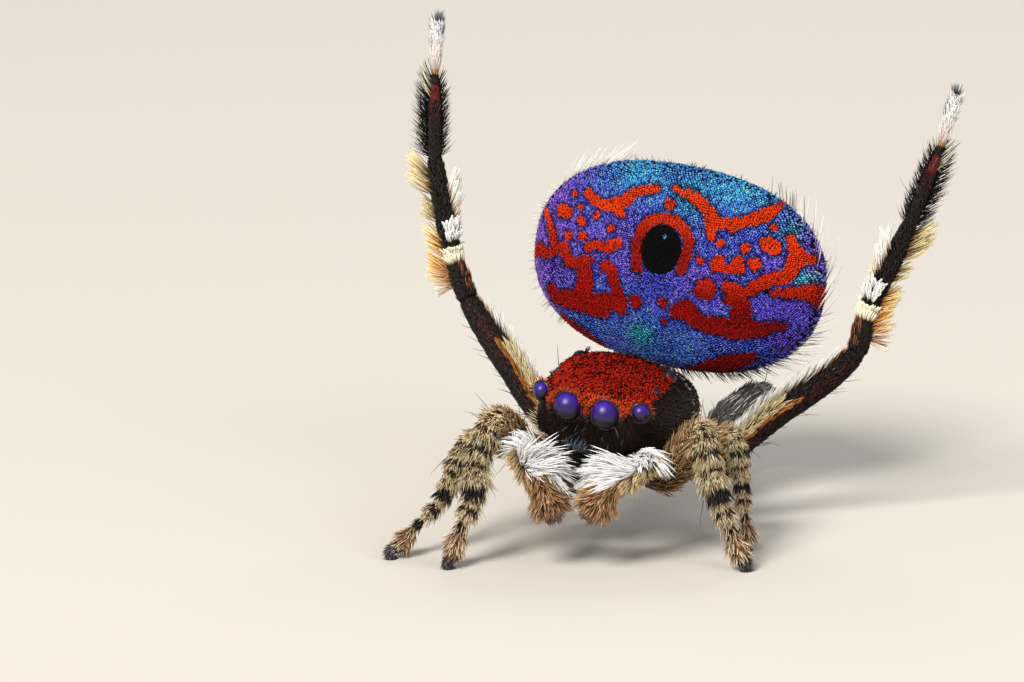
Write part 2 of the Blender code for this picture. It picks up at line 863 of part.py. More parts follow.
def make_spinnerets(collection, helpers):
    """A small group of spinnerets at the raised tip of the abdomen."""
    place = abdomen_matrix()
    pieces = []
    for number, (x, y, half) in enumerate(
        ((0.0, 0.50, 0.075), (0.07, 0.44, 0.055), (-0.07, 0.44, 0.055))
    ):
        start = place @ Vector((x * 0.7, y, 0.72))
        end = place @ Vector((x * 1.6, y + 0.02, 1.04))
        way = (end - start).normalized()
        rows = [
            (start, way, half), (start + (end - start) * 0.75, way, half * 0.9),
        ]
        bm = bmesh.new()
        skin_over(bm, ring_rows(rows, 10), None, end)
        holder = collection if number == 0 else helpers
        label = "spinnerets" if number == 0 else f"spinneret_{number}"
        pieces.append(link_mesh(label, bm, holder))
    for extra in pieces[1:]:
        cut(pieces[0], extra, "UNION")
        bpy.data.objects.remove(extra, do_unlink=True)
    return pieces[0]


# Smooth nodes that would touch: each is cut clear of those beside it.
CLEARANCES = (
    ("palp_{0}_femur", ("chelicera_{0}", "leg1_{0}_femur")),
)


def clear_neighbours(collection, helpers):
    """Cuts each node of the list clear of its neighbours by a small gap."""
    for side, _ in SIDES:
        for name, others in CLEARANCES:
            node = collection.objects[name.format(side)]
            for other in others:
                beside = collection.objects[other.format(side)]
                grown = swollen(beside, GAP, "beside", helpers)
                cut(node, grown)
                bpy.data.objects.remove(grown, do_unlink=True)
            keep_largest(node)


def to_metres(collection, root):
    """Moves the origin to the middle, scales to metres and parents."""
    change = Matrix.Scale(MM, 4) @ Matrix.Translation(-MIDDLE)
    for obj in collection.objects:
        if obj.type != "MESH":
            continue
        bm = bmesh.new()
        bm.from_mesh(obj.data)
        bmesh.ops.triangulate(bm, faces=bm.faces[:])
        bmesh.ops.transform(bm, matrix=change, verts=bm.verts[:])
        bm.to_mesh(obj.data)
        bm.free()
        obj.data.shade_smooth()
        obj.parent = root


def main():
    """Builds every piece in order."""
    random.seed(7)
    clear_scene()
    spider = new_collection("peacock_spider")
    helpers = new_collection("cutters")

    head = make_cephalothorax(spider)
    near_head = swollen(head, GAP, "near_head", helpers)
    eyes = make_eyes(spider, helpers, head)
    abdomen = make_abdomen(spider)
    near_abdomen = swollen(abdomen, GAP, "near_abdomen", helpers)
    grow_fringe(abdomen, helpers)

    head.data.materials.append(finish("carapace_brown", DARK, 0.35))
    abdomen.data.materials.append(finish("abdomen_blue", BLUE, 0.4))
    for eye in eyes:
        eye.data.materials.append(finish(eye.name, VIOLET, 0.08))

    for leg in LEGS:
        made = make_leg(leg, (spider, helpers), near_head)
        for piece in made:
            piece.data.materials.append(finish(piece.name, leg.colour, 0.8))
    for piece in make_palps((spider, helpers), near_head):
        piece.data.materials.append(finish(piece.name, CREAM, 0.8))
    for piece in make_jaws(spider):
        if piece.name.startswith("chelicera"):
            cut(piece, near_head)
            keep_largest(piece)
        piece.data.materials.append(finish(piece.name, DARK, 0.35))
    pedicel = make_pedicel(spider)
    cut(pedicel, near_head)
    cut(pedicel, near_abdomen)
    keep_largest(pedicel)
    pedicel.data.materials.append(finish("pedicel", DARK, 0.4))
    spinnerets = make_spinnerets(spider, helpers)
    cut(spinnerets, near_abdomen)
    keep_largest(spinnerets)
    spinnerets.data.materials.append(finish("spinnerets", GREY, 0.6))

    clear_neighbours(spider, helpers)
    bpy.data.objects.remove(near_head, do_unlink=True)
    bpy.data.objects.remove(near_abdomen, do_unlink=True)

    root = bpy.data.objects.new("peacock_spider_root", None)
    spider.objects.link(root)
    to_metres(spider, root)


main()
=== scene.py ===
"""Looks of a life-size peacock spider, a male in its courtship display.

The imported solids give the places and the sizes. This script lays one skin
over the flesh, plants scales and hairs on it, and adds glossy eyes, a pale
floor, soft light and the camera. Lengths are millimetres in the frame of the
part's source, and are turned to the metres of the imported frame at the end.
"""

import logging
import math
from collections.abc import Callable, Iterable, Sequence
from dataclasses import dataclass, field, replace
from enum import Enum

import bmesh
import bpy
import numpy as np
from mathutils import Matrix, Vector


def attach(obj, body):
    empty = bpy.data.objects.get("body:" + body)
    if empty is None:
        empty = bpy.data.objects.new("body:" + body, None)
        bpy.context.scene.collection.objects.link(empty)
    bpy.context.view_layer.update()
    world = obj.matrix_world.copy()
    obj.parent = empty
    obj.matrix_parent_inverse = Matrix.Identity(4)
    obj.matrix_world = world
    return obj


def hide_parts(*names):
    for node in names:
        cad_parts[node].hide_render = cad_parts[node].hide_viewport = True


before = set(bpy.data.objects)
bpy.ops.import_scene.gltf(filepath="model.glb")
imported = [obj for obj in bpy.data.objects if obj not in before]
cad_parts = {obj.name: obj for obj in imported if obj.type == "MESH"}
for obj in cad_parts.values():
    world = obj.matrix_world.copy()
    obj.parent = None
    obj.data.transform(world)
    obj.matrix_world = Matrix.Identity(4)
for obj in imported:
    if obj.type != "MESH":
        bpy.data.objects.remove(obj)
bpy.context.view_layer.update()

LOG = logging.getLogger("peacock_spider")

Array = np.ndarray
Triple = tuple[float, float, float]
Quad = tuple[float, float, float, float]
Chart = Callable[[Array, Array], Array]

# The source works in millimetres about its own origin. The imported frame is
# in metres about the middle of the outline.
MM = 0.001
MIDDLE = np.array((0.52, 0.27, 0.0))
BODY = "root"

# The side of a strand's patch on the unwrap, and the names of the colour
# and of the unwrap that the export asks for.
PATCH = 0.003
TINT = "tint"
BAKE_MAP = "OFBake"


# Basics.


def linear(code: str) -> Array:
    """Turns an sRGB hex colour to linear values.

    Args:
        code: Six hex digits, with or without a leading hash.

    Returns:
        Red, green and blue from 0 to 1.
    """
    code = code.lstrip("#")
    values = np.array([int(code[k:k + 2], 16) / 255.0 for k in (0, 2, 4)])
    return np.where(values <= 0.04045, values / 12.92, ((values + 0.055) / 1.055) ** 2.4)


def shade(code: str) -> Quad:
    """The colour of a socket, from its hex digits."""
    return (*(float(value) for value in linear(code)), 1.0)


def unit(vectors: Array) -> Array:
    """Vectors of length one, along the last axis."""
    size = np.linalg.norm(vectors, axis=-1, keepdims=True)
    return vectors / np.maximum(size, 1e-12)


def blend(first: Array | str, second: Array | str, share: Array) -> Array:
    """Mixes two colours, or sets of colours or places, by a share for each row."""
    first, second = (linear(v) if isinstance(v, str) else v for v in (first, second))
    share = np.asarray(share, float)
    if share.ndim == 1:
        share = share[:, None]
    return first * (1.0 - share) + second * share


def ramp(values: Array, low: float, high: float) -> Array:
    """A smooth step from 0 at low to 1 at high."""
    share = np.clip((values - low) / (high - low), 0.0, 1.0)
    return share * share * (3.0 - 2.0 * share)


def ripple(x: Array, z: Array, size: float, seed: int) -> Array:
    """Smooth noise from -1 to 1, the sum of a few waves.

    Args:
        x: First coordinate, in millimetres.
        z: Second coordinate, in millimetres.
        size: The rough distance between two crests, in millimetres.
        seed: Picks the waves.

    Returns:
        One value for each place.
    """
    draw = np.random.default_rng(seed)
    total = np.zeros_like(np.asarray(x, float))
    for _ in range(7):
        angle = draw.uniform(0.0, math.tau)
        pace = math.tau / (size * draw.uniform(0.7, 1.6))
        total += np.sin(
            (x * math.cos(angle) + z * math.sin(angle)) * pace + draw.uniform(0.0, math.tau)
        )
    return total / 4.0


def signed_power(values: Array, power: float) -> Array:
    """A power that keeps the sign, for squared-off ellipses."""
    return np.sign(values) * np.abs(values) ** power


def link(name: str, data: bpy.types.ID) -> bpy.types.Object:
    """Makes an object and links it to the scene."""
    made = bpy.data.objects.new(name, data)
    bpy.context.scene.collection.objects.link(made)
    return made


def mesh_of(bm: bmesh.types.BMesh, name: str, smooth: bool = True) -> bpy.types.Mesh:
    """Turns a working mesh into a finished one and frees it.

    Args:
        bm: The working mesh.
        name: The finished mesh's name.
        smooth: Whether its faces are shaded smooth.

    Returns:
        The finished mesh.
    """
    mesh = bpy.data.meshes.new(name)
    bm.to_mesh(mesh)
    bm.free()
    if smooth:
        mesh.shade_smooth()
    return mesh


def seat(spot: Array, way: Array) -> Matrix:
    """The matrix that stands an upright form at a place, along a direction."""
    turn = Vector(way).to_track_quat("Z", "Y").to_matrix().to_4x4()
    return Matrix.Translation(Vector((spot - MIDDLE) * MM)) @ turn


def fresh_verts(grown: Iterable[object]) -> list[bmesh.types.BMVert]:
    """The vertices among the parts that an extrusion made."""
    return [item for item in grown if isinstance(item, bmesh.types.BMVert)]


def fresh_edges(
    grown: Iterable[object], fresh: Iterable[bmesh.types.BMVert]
) -> list[bmesh.types.BMEdge]:
    """The edges that an extrusion made between its new vertices."""
    edges = [item for item in grown if isinstance(item, bmesh.types.BMEdge)]
    return [e for e in edges if e.verts[0] in fresh and e.verts[1] in fresh]


class Profile:
    """A smooth curve through a short table of places and values."""

    def __init__(self, rows: Sequence[Sequence[float]], limited: bool = True) -> None:
        """Keeps the table and works out its slopes.

        Args:
            rows: Rows of a place and one value or more.
            limited: Whether the curve may not swing past its points.
        """
        table = np.array(rows, float)
        self.places = table[:, 0]
        self.values = table[:, 1:]
        steps = np.diff(self.places)[:, None]
        slopes = np.diff(self.values, axis=0) / steps
        self.slopes = np.empty_like(self.values)
        self.slopes[0] = slopes[0]
        self.slopes[-1] = slopes[-1]
        inner = (slopes[:-1] * steps[1:] + slopes[1:] * steps[:-1]) / (steps[:-1] + steps[1:])
        if limited:
            cap = 3.0 * np.minimum(np.abs(slopes[:-1]), np.abs(slopes[1:]))
            inner = np.clip(inner, -cap, cap)
            inner[slopes[:-1] * slopes[1:] <= 0.0] = 0.0
        self.slopes[1:-1] = inner

    def at(self, places: Array | float) -> Array:
        """Reads the curve.

        Args:
            places: Where to read it; it stays level beyond its ends.

        Returns:
            One value for each place, or one row where the table has several.
        """
        t = np.clip(np.asarray(places, float), self.places[0], self.places[-1])
        i = np.clip(np.searchsorted(self.places, t, side="right") - 1, 0, len(self.places) - 2)
        step = self.places[i + 1] - self.places[i]
        f = ((t - self.places[i]) / step)[..., None]
        step = step[..., None]
        found = (
            (2 * f**3 - 3 * f**2 + 1) * self.values[i]
            + (f**3 - 2 * f**2 + f) * step * self.slopes[i]
            + (3 * f**2 - 2 * f**3) * self.values[i + 1]
            + (f**3 - f**2) * step * self.slopes[i + 1]
        )
        return found[..., 0] if found.shape[-1] == 1 else found


@dataclass(frozen=True)
class Placement:
    """Where a body part stands: its centre and three turns in degrees."""

    centre: Triple
    yaw: float
    nod: float
    lean: float

    def matrix(self) -> Matrix:
        """The matrix from the part's own frame to the spider's."""
        return (
            Matrix.Translation(self.centre)
            @ Matrix.Rotation(math.radians(self.yaw), 4, "Z")
            @ Matrix.Rotation(math.radians(self.nod), 4, "X")
            @ Matrix.Rotation(math.radians(self.lean), 4, "Y")
        )

    def place(self, points: Array | Triple) -> Array:
        """Moves points from the part's own frame to the spider's."""
        matrix = np.array(self.matrix())
        return points @ matrix[:3, :3].T + matrix[:3, 3]

    def turn(self, vectors: Array | Triple) -> Array:
        """Turns directions from the part's own frame to the spider's."""
        return vectors @ np.array(self.matrix())[:3, :3].T

    def local(self, points: Array) -> Array:
        """Moves points from the spider's frame to the part's own."""
        matrix = np.array(self.matrix())
        return (points - matrix[:3, 3]) @ matrix[:3, :3]


# Where the front body and the abdomen stand.
HEAD = Placement((0.06, 0.0, 1.51), -6.0, 6.0, 9.5)
ABDOMEN = Placement((0.375, 1.25, 2.41), -6.0, -8.0, 8.0)


# Finishes.


def add_node(
    tree: bpy.types.NodeTree,
    kind: str,
    values: dict | None = None,
    **settings: object,
) -> bpy.types.Node:
    """Adds a node with its settings, its values and its links.

    Args:
        tree: The tree that gets the node.
        kind: The node's type name.
        values: For each input, a number, a colour or the socket that feeds it.
        settings: Properties of the node itself.

    Returns:
        The new node.
    """
    made = tree.nodes.new(kind)
    for key, value in settings.items():
        setattr(made, key, value)
    for key, value in (values or {}).items():
        if isinstance(value, bpy.types.NodeSocket):
            tree.links.new(value, made.inputs[key])
        else:
            made.inputs[key].default_value = value
    return made


def empty_material(name: str) -> tuple[bpy.types.Material, bpy.types.NodeTree]:
    """A material with an empty tree."""
    made = bpy.data.materials.new(name)
    made.use_nodes = True
    made.node_tree.nodes.clear()
    return made, made.node_tree


def close_material(tree: bpy.types.NodeTree, values: dict) -> None:
    """Adds the Principled shader and the output to a tree.

    Args:
        tree: The material's tree.
        values: The shader's inputs.
    """
    shader = add_node(tree, "ShaderNodeBsdfPrincipled", values)
    add_node(tree, "ShaderNodeOutputMaterial", {"Surface": shader.outputs["BSDF"]})


def in_millimetres(tree: bpy.types.NodeTree) -> bpy.types.NodeSocket:
    """Object coordinates scaled so that one unit is a millimetre."""
    spot = add_node(tree, "ShaderNodeTexCoord")
    scaled = add_node(
        tree, "ShaderNodeMapping",
        {"Vector": spot.outputs["Object"], "Scale": (1.0 / MM,) * 3},
    )
    return scaled.outputs["Vector"]


@dataclass(frozen=True)
class Cuticle:
    """Chitin, hardened by the spider itself: a dull gloss over fine grain."""

    name: str
    dark: str
    light: str
    roughness: float
    grain: float
    relief: float
    ior: float = 1.56

    def make(self) -> bpy.types.Material:
        """Builds the material.

        The grain is the cuticle's own bumps, drawn at the size given, which
        is coarse enough to show.

        Returns:
            The material.
        """
        made, tree = empty_material(self.name)
        place = in_millimetres(tree)
        cloud = add_node(
            tree, "ShaderNodeTexNoise", {"Vector": place, "Scale": 3.0, "Detail": 4.0}
        )
        grain = add_node(
            tree, "ShaderNodeTexVoronoi", {"Vector": place, "Scale": 1.0 / self.grain}
        )
        colour = add_node(
            tree, "ShaderNodeMix",
            {"Factor": cloud.outputs["Fac"], "A": shade(self.dark), "B": shade(self.light)},
            data_type="RGBA",
        )
        bump = add_node(
            tree, "ShaderNodeBump",
            {
                "Height": grain.outputs["Distance"],
                "Strength": 0.5,
                "Distance": self.relief * MM,
            },
        )
        rough = add_node(
            tree, "ShaderNodeMapRange",
            {
                "Value": cloud.outputs["Fac"],
                "To Min": self.roughness - 0.08,
                "To Max": self.roughness + 0.1,
            },
        )
        close_material(tree, {
            "Base Color": colour.outputs["Result"],
            "Roughness": rough.outputs["Result"],
            "IOR": self.ior,
            "Normal": bump.outputs["Normal"],
        })
        return made


@dataclass(frozen=True)
class Tinted:
    """Chitin that carries a colour on each hair or face: its marking, with painted glints and
    painted shade in places.
    """

    name: str
    roughness: float
    metallic: float = 0.0
    grain: float = 0.03
    relief: float = 0.004
    spread: float = 0.25
    ior: float = 1.5

    def make(self) -> bpy.types.Material:
        """Builds the material from the colour that the mesh carries.

        Returns:
            The material.
        """
        made, tree = empty_material(self.name)
        place = in_millimetres(tree)
        carried = add_node(tree, "ShaderNodeAttribute", attribute_name=TINT)
        cloud = add_node(
            tree, "ShaderNodeTexNoise",
            {"Vector": place, "Scale": 1.0 / self.grain, "Detail": 2.0},
        )
        light = add_node(
            tree, "ShaderNodeMapRange",
            {
                "Value": cloud.outputs["Fac"],
                "From Min": 0.25,
                "From Max": 0.75,
                "To Min": 1.0 - self.spread,
                "To Max": 1.0 + self.spread,
            },
        )
        colour = add_node(
            tree, "ShaderNodeVectorMath",
            {0: carried.outputs["Color"], "Scale": light.outputs["Result"]},
            operation="SCALE",
        )
        bump = add_node(
            tree, "ShaderNodeBump",
            {"Height": cloud.outputs["Fac"], "Strength": 0.4, "Distance": self.relief * MM},
        )
        close_material(tree, {
            "Base Color": colour.outputs["Vector"],
            "Roughness": self.roughness,
            "Metallic": self.metallic,
            "IOR": self.ior,
            "Normal": bump.outputs["Normal"],
        })
        return made


@dataclass(frozen=True)
class Lens:
    """The clear cuticle of an eye over its dark cup, smooth as glass.

    The upper half shows a violet painted reflection of light from above; below is near black.
    """

    name: str
    centre: Triple
    radius: float
    violet: str = "#260766"
    blue: str = "#33109A"
    dark: str = "#0E0614"

    def make(self) -> bpy.types.Material:
        """Builds the material, with its painted reflection set by height on the eye.

        Returns:
            The material.
        """
        made, tree = empty_material(self.name)
        spot = add_node(tree, "ShaderNodeTexCoord")
        centre = tuple(float(v) for v in (np.array(self.centre) - MIDDLE) * MM)
        local = add_node(
            tree, "ShaderNodeVectorMath",
            {0: spot.outputs["Object"], 1: centre},
            operation="SUBTRACT",
        )
        parts = add_node(tree, "ShaderNodeSeparateXYZ", {"Vector": local.outputs["Vector"]})
        height = add_node(
            tree, "ShaderNodeMapRange",
            {
                "Value": parts.outputs["Z"],
                "From Min": -self.radius * MM,
                "From Max": self.radius * MM,
            },
        )
        # Painted reflection: violet over the upper half of the eye, near black below.
        colours = add_node(tree, "ShaderNodeValToRGB", {"Fac": height.outputs["Result"]})
        stops = colours.color_ramp
        stops.interpolation = "EASE"
        stops.elements[0].position = 0.28
        stops.elements[0].color = shade(self.dark)
        stops.elements[1].position = 0.7
        stops.elements[1].color = shade(self.violet)
        last = stops.elements.new(0.97)
        last.color = shade(self.blue)
        close_material(tree, {
            "Base Color": colours.outputs["Color"],
            "Roughness": 0.3,
            "IOR": 1.22,
            "Coat Weight": 1.0,
            "Coat Roughness": 0.4,
            "Coat IOR": 1.48,
        })
        return made


@dataclass(frozen=True)
class Plaster:
    """The studio's matt pale floor."""

    name: str
    colour: str

    def make(self) -> bpy.types.Material:
        """Builds the material.

        Returns:
            The material.
        """
        made, tree = empty_material(self.name)
        close_material(tree, {"Base Color": shade(self.colour), "Roughness": 0.9})
        return made


# Strands.


@dataclass(frozen=True)
class HairShape:
    """The shape of one kind of hair, in millimetres and degrees.

    lift is the angle between skin and hair at the root, fall the share of it
    that is gone at the tip, sway the spread of its direction on the skin,
    outline the width along the hair as pairs of place and share, and fade
    the share of the hair over which its root colour turns to its tip colour.
    """

    length: float
    width: float
    lift: float
    fall: float = 0.6
    vary: float = 0.2
    sway: float = 10.0
    flat: float = 0.5
    outline: tuple[tuple[float, float], ...] = ((0.0, 0.7), (0.4, 1.0), (0.75, 0.62))
    fade: float = 0.75


# How far a hair's root lies under the skin, in millimetres.
ROOT_SINK = 0.004

# How many roots are compared at once, to spare memory.
BLOCK = 2000

# Outlines of hairs: the width along a hair, as pairs of place and share.
BRISTLE = ((0.0, 1.0), (0.35, 0.85), (0.72, 0.5))
FAN = ((0.0, 0.55), (0.62, 1.0))
SHORT = ((0.0, 0.8), (0.5, 1.0))
BRUSH = ((0.0, 0.55), (0.5, 0.95), (0.92, 0.8))
LONG = ((0.0, 0.9), (0.3, 1.0), (0.6, 0.85), (0.88, 0.5))


@dataclass
class Roots:
    """Where hairs leave the skin."""

    u: Array
    v: Array
    place: Array
    normal: Array
    lay: Array

    def pick(self, keep: Array) -> "Roots":
        """The roots that a mask keeps."""
        return Roots(
            self.u[keep], self.v[keep], self.place[keep], self.normal[keep], self.lay[keep]
        )

    def __len__(self) -> int:
        """The number of roots."""
        return len(self.u)


@dataclass
class Strands:
    """Hairs or scales of one make, as arrays over hair, ring and axis."""

    spine: Array
    side: Array
    rise: Array
    tint: Array
    patch: Array

    def corners(self) -> Array:
        """Every vertex: three to a ring, then the tip."""
        rings = self.spine[:, :-1]
        ring = np.stack((rings - self.side, rings + self.side, rings + self.rise), axis=2)
        count = len(ring)
        return np.concatenate((ring.reshape(count, -1, 3), self.spine[:, -1:]), axis=1)

    def faces(self) -> Array:
        """The triangles of one strand, which start at its first vertex."""
        rings = self.side.shape[1]
        found = [(0, 1, 2)]
        for j in range(rings - 1):
            for a, b in ((0, 1), (1, 2), (2, 0)):
                low, high = 3 * j, 3 * j + 3
                found.append((low + a, high + a, high + b))
                found.append((low + a, high + b, low + b))
        top = 3 * (rings - 1)
        for a, b in ((0, 1), (1, 2), (2, 0)):
            found.append((top + a, 3 * rings, top + b))
        return np.array(found)


def grow(
    roots: Roots,
    shape: HairShape,
    tints: tuple[Array, Array],
    seed: int,
    clump: tuple[float, int] = (0.0, 8),
    pull: Array | Triple = (0.0, 0.0, 0.0),
    sizes: Array | None = None,
) -> Strands:
    """Grows one hair from each root.

    Args:
        roots: Where the hairs start.
        shape: Their shape.
        tints: Their colours at the root and at the tip, linear, one row each.
        seed: Picks the spread of their directions.
        clump: How far the tips draw together, and how many share a tuft.
        pull: How far each tip is drawn aside, in millimetres.
        sizes: A factor on the length of each hair.

    Returns:
        The hairs as arrays.
    """
    draw = np.random.default_rng(seed)
    count = len(roots)
    size = shape.length * (1.0 + shape.vary * draw.uniform(-1.0, 1.0, count))
    if sizes is not None:
        size = size * sizes
    turn = np.radians(shape.sway) * draw.normal(0.0, 0.7, count)
    across = unit(np.cross(roots.normal, roots.lay))
    lay = roots.lay * np.cos(turn)[:, None] + across * np.sin(turn)[:, None]
    lift = np.radians(shape.lift) * (1.0 + 0.25 * draw.normal(0.0, 0.6, count))
    after = lift * (1.0 - shape.fall)
    start = lay * np.cos(lift)[:, None] + roots.normal * np.sin(lift)[:, None]
    end = lay * np.cos(after)[:, None] + roots.normal * np.sin(after)[:, None]
    times = np.array([place for place, _ in shape.outline] + [1.0])
    shares = np.array([share for _, share in shape.outline])
    t = times[None, :, None]
    run = size[:, None, None]
    spine = roots.place[:, None] + run * t * (start[:, None] * (1 - t / 2) + end[:, None] * t / 2)
    spine = spine - roots.normal[:, None] * ROOT_SINK
    shift = np.broadcast_to(np.asarray(pull, float), (count, 3)).copy()
    if clump[0] > 0.0 and count > clump[1] * 2:
        heads = draw.permutation(count)[: max(2, count // clump[1])]
        tips = spine[:, -1]
        for first in range(0, count, BLOCK):
            block = roots.place[first:first + BLOCK]
            gap = np.linalg.norm(block[:, None] - roots.place[heads][None], axis=2)
            near = heads[gap.argmin(axis=1)]
            shift[first:first + BLOCK] += clump[0] * (tips[near] - tips[first:first + BLOCK])
    spine = spine + shift[:, None] * t * t
    ahead = unit(np.gradient(spine, axis=1))[:, :-1]
    side = unit(np.cross(ahead, roots.normal[:, None]))
    rise = unit(np.cross(side, ahead))
    half = 0.5 * shape.width * shares[None, :, None] * (size / shape.length)[:, None, None] ** 0.5
    share = np.minimum(1.0, t / shape.fade)
    tint = tints[0][:, None] * (1 - share) + tints[1][:, None] * share
    return Strands(
        spine, side * half, rise * half * 2.0 * shape.flat, tint,
        np.column_stack((roots.u, roots.v)),
    )


def sow_mesh(name: str, groups: Iterable[Strands]) -> bpy.types.Mesh:
    """Joins strands into one mesh with its colours and its unwrap.

    Args:
        name: The mesh's name.
        groups: The strands.

    Returns:
        The mesh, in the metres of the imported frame.
    """
    points, tints, triangles, patches = [], [], [], []
    start = 0
    for group in groups:
        if not len(group.spine):
            continue
        corners = group.corners()
        count, each = corners.shape[:2]
        rings = each // 3
        pattern = group.faces()
        owner = np.arange(count)[:, None, None] * each
        triangles.append((pattern[None] + owner + start).reshape(-1, 3))
        points.append(corners.reshape(-1, 3))
        ring_tint = np.repeat(group.tint[:, :-1], 3, axis=1)
        tints.append(np.concatenate((ring_tint, group.tint[:, -1:]), axis=1).reshape(-1, 3))
        steps = np.minimum(np.arange(each) // 3, rings) / rings
        turns = np.where(np.arange(each) == each - 1, 1, np.arange(each) % 3) / 2.0
        offsets = (np.column_stack((turns, steps)) - 0.5) * PATCH
        spots = 0.004 + 0.992 * (group.patch % 1.0001)
        loops = spots[:, None] + offsets[pattern.reshape(-1)][None]
        patches.append(loops.reshape(-1, 2))
        start += count * each
    place = np.concatenate(points)
    place[:, 2] = np.maximum(place[:, 2], 0.0)
    place = (place - MIDDLE) * MM
    corners = np.concatenate(triangles).astype(np.int32)
    mesh = bpy.data.meshes.new(name)
    mesh.vertices.add(len(place))
    mesh.vertices.foreach_set("co", place.astype(np.float32).ravel())
    mesh.loops.add(corners.size)
    mesh.loops.foreach_set("vertex_index", corners.ravel())
    mesh.polygons.add(len(corners))
    mesh.polygons.foreach_set("loop_start", np.arange(0, corners.size, 3, dtype=np.int32))
    mesh.update(calc_edges=True)
    mesh.uv_layers.new(name=BAKE_MAP).data.foreach_set(
        "uv", np.concatenate(patches).astype(np.float32).ravel()
    )
    shades = np.ones((len(place), 4), np.float32)
    shades[:, :3] = np.clip(np.concatenate(tints), 0.0, 1.0)
    mesh.color_attributes.new(TINT, "FLOAT_COLOR", "POINT").data.foreach_set(
        "color", shades.ravel()
    )
    mesh.shade_smooth()
    mesh.validate()
    return mesh


def even_spread(count: int) -> Array:
    """Points spread evenly over a square without showing rows."""
    order = np.arange(1, count + 1)[:, None]
    return (0.5 + order * np.array((0.7548776662, 0.569840291))) % 1.0


class Surface:
    """A surface over a square of (u, v), from which a coat grows."""

    cells: tuple[int, int] = (160, 64)
    facing: float = 1.0

    def point(self, u: Array, v: Array) -> Array:
        """Places on the surface, in the spider's millimetres."""
        raise NotImplementedError

    def direction(self, u: Array, v: Array) -> Array:
        """The way in which hairs lie, before it is laid on the surface."""
        raise NotImplementedError

    def roots(self, u: Array, v: Array) -> Roots:
        """Works out the places, the normals and the lie at some roots.

        Args:
            u: First coordinates.
            v: Second coordinates.

        Returns:
            The roots.
        """
        step = 2e-3
        place = self.point(u, v)
        along = self.point(u + step, v) - self.point(u - step, v)
        round_ = self.point(u, v + step) - self.point(u, v - step)
        normal = unit(np.cross(along, round_)) * self.facing
        lay = self.direction(u, v)
        lay = unit(lay - normal * np.sum(lay * normal, axis=1, keepdims=True))
        return Roots(u, v, place, normal, lay)

    def plant(self, count: int, seed: int, weight: Chart | None = None) -> Roots:
        """Spreads roots evenly over the area that a weight leaves open.

        Args:
            count: How many roots.
            seed: Picks their small shifts.
            weight: Gives the density for each (u, v), or 0 where none grow.

        Returns:
            The roots.
        """
        nu, nv = self.cells
        u, v = np.meshgrid(
            (np.arange(nu) + 0.5) / nu, (np.arange(nv) + 0.5) / nv, indexing="ij"
        )
        u, v = u.ravel(), v.ravel()
        along = self.point(u + 0.5 / nu, v) - self.point(u - 0.5 / nu, v)
        round_ = self.point(u, v + 0.5 / nv) - self.point(u, v - 0.5 / nv)
        area = np.linalg.norm(np.cross(along, round_), axis=1)
        if weight is not None:
            area = area * weight(u, v)
        area = area.reshape(nu, nv) + 1e-15
        draw = np.random.default_rng(seed)
        spots = even_spread(count) + draw.normal(0.0, 0.22 / math.sqrt(count), (count, 2))
        spots = np.clip(spots, 1e-6, 1.0 - 1e-6)
        rows = np.concatenate(([0.0], np.cumsum(area.sum(axis=1))))
        rows /= rows[-1]
        first = np.clip(np.searchsorted(rows, spots[:, 0], side="right") - 1, 0, nu - 1)
        share_u = (spots[:, 0] - rows[first]) / np.maximum(rows[first + 1] - rows[first], 1e-15)
        within = np.cumsum(area, axis=1)
        within = np.concatenate((np.zeros((nu, 1)), within / within[:, -1:]), axis=1)
        table = within[first]
        second = np.clip((table <= spots[:, 1:2]).sum(axis=1) - 1, 0, nv - 1)
        index = np.arange(count)
        low, high = table[index, second], table[index, second + 1]
        share_v = (spots[:, 1] - low) / np.maximum(high - low, 1e-15)
        return self.roots((first + share_u) / nu, (second + share_v) / nv)


# Skin.


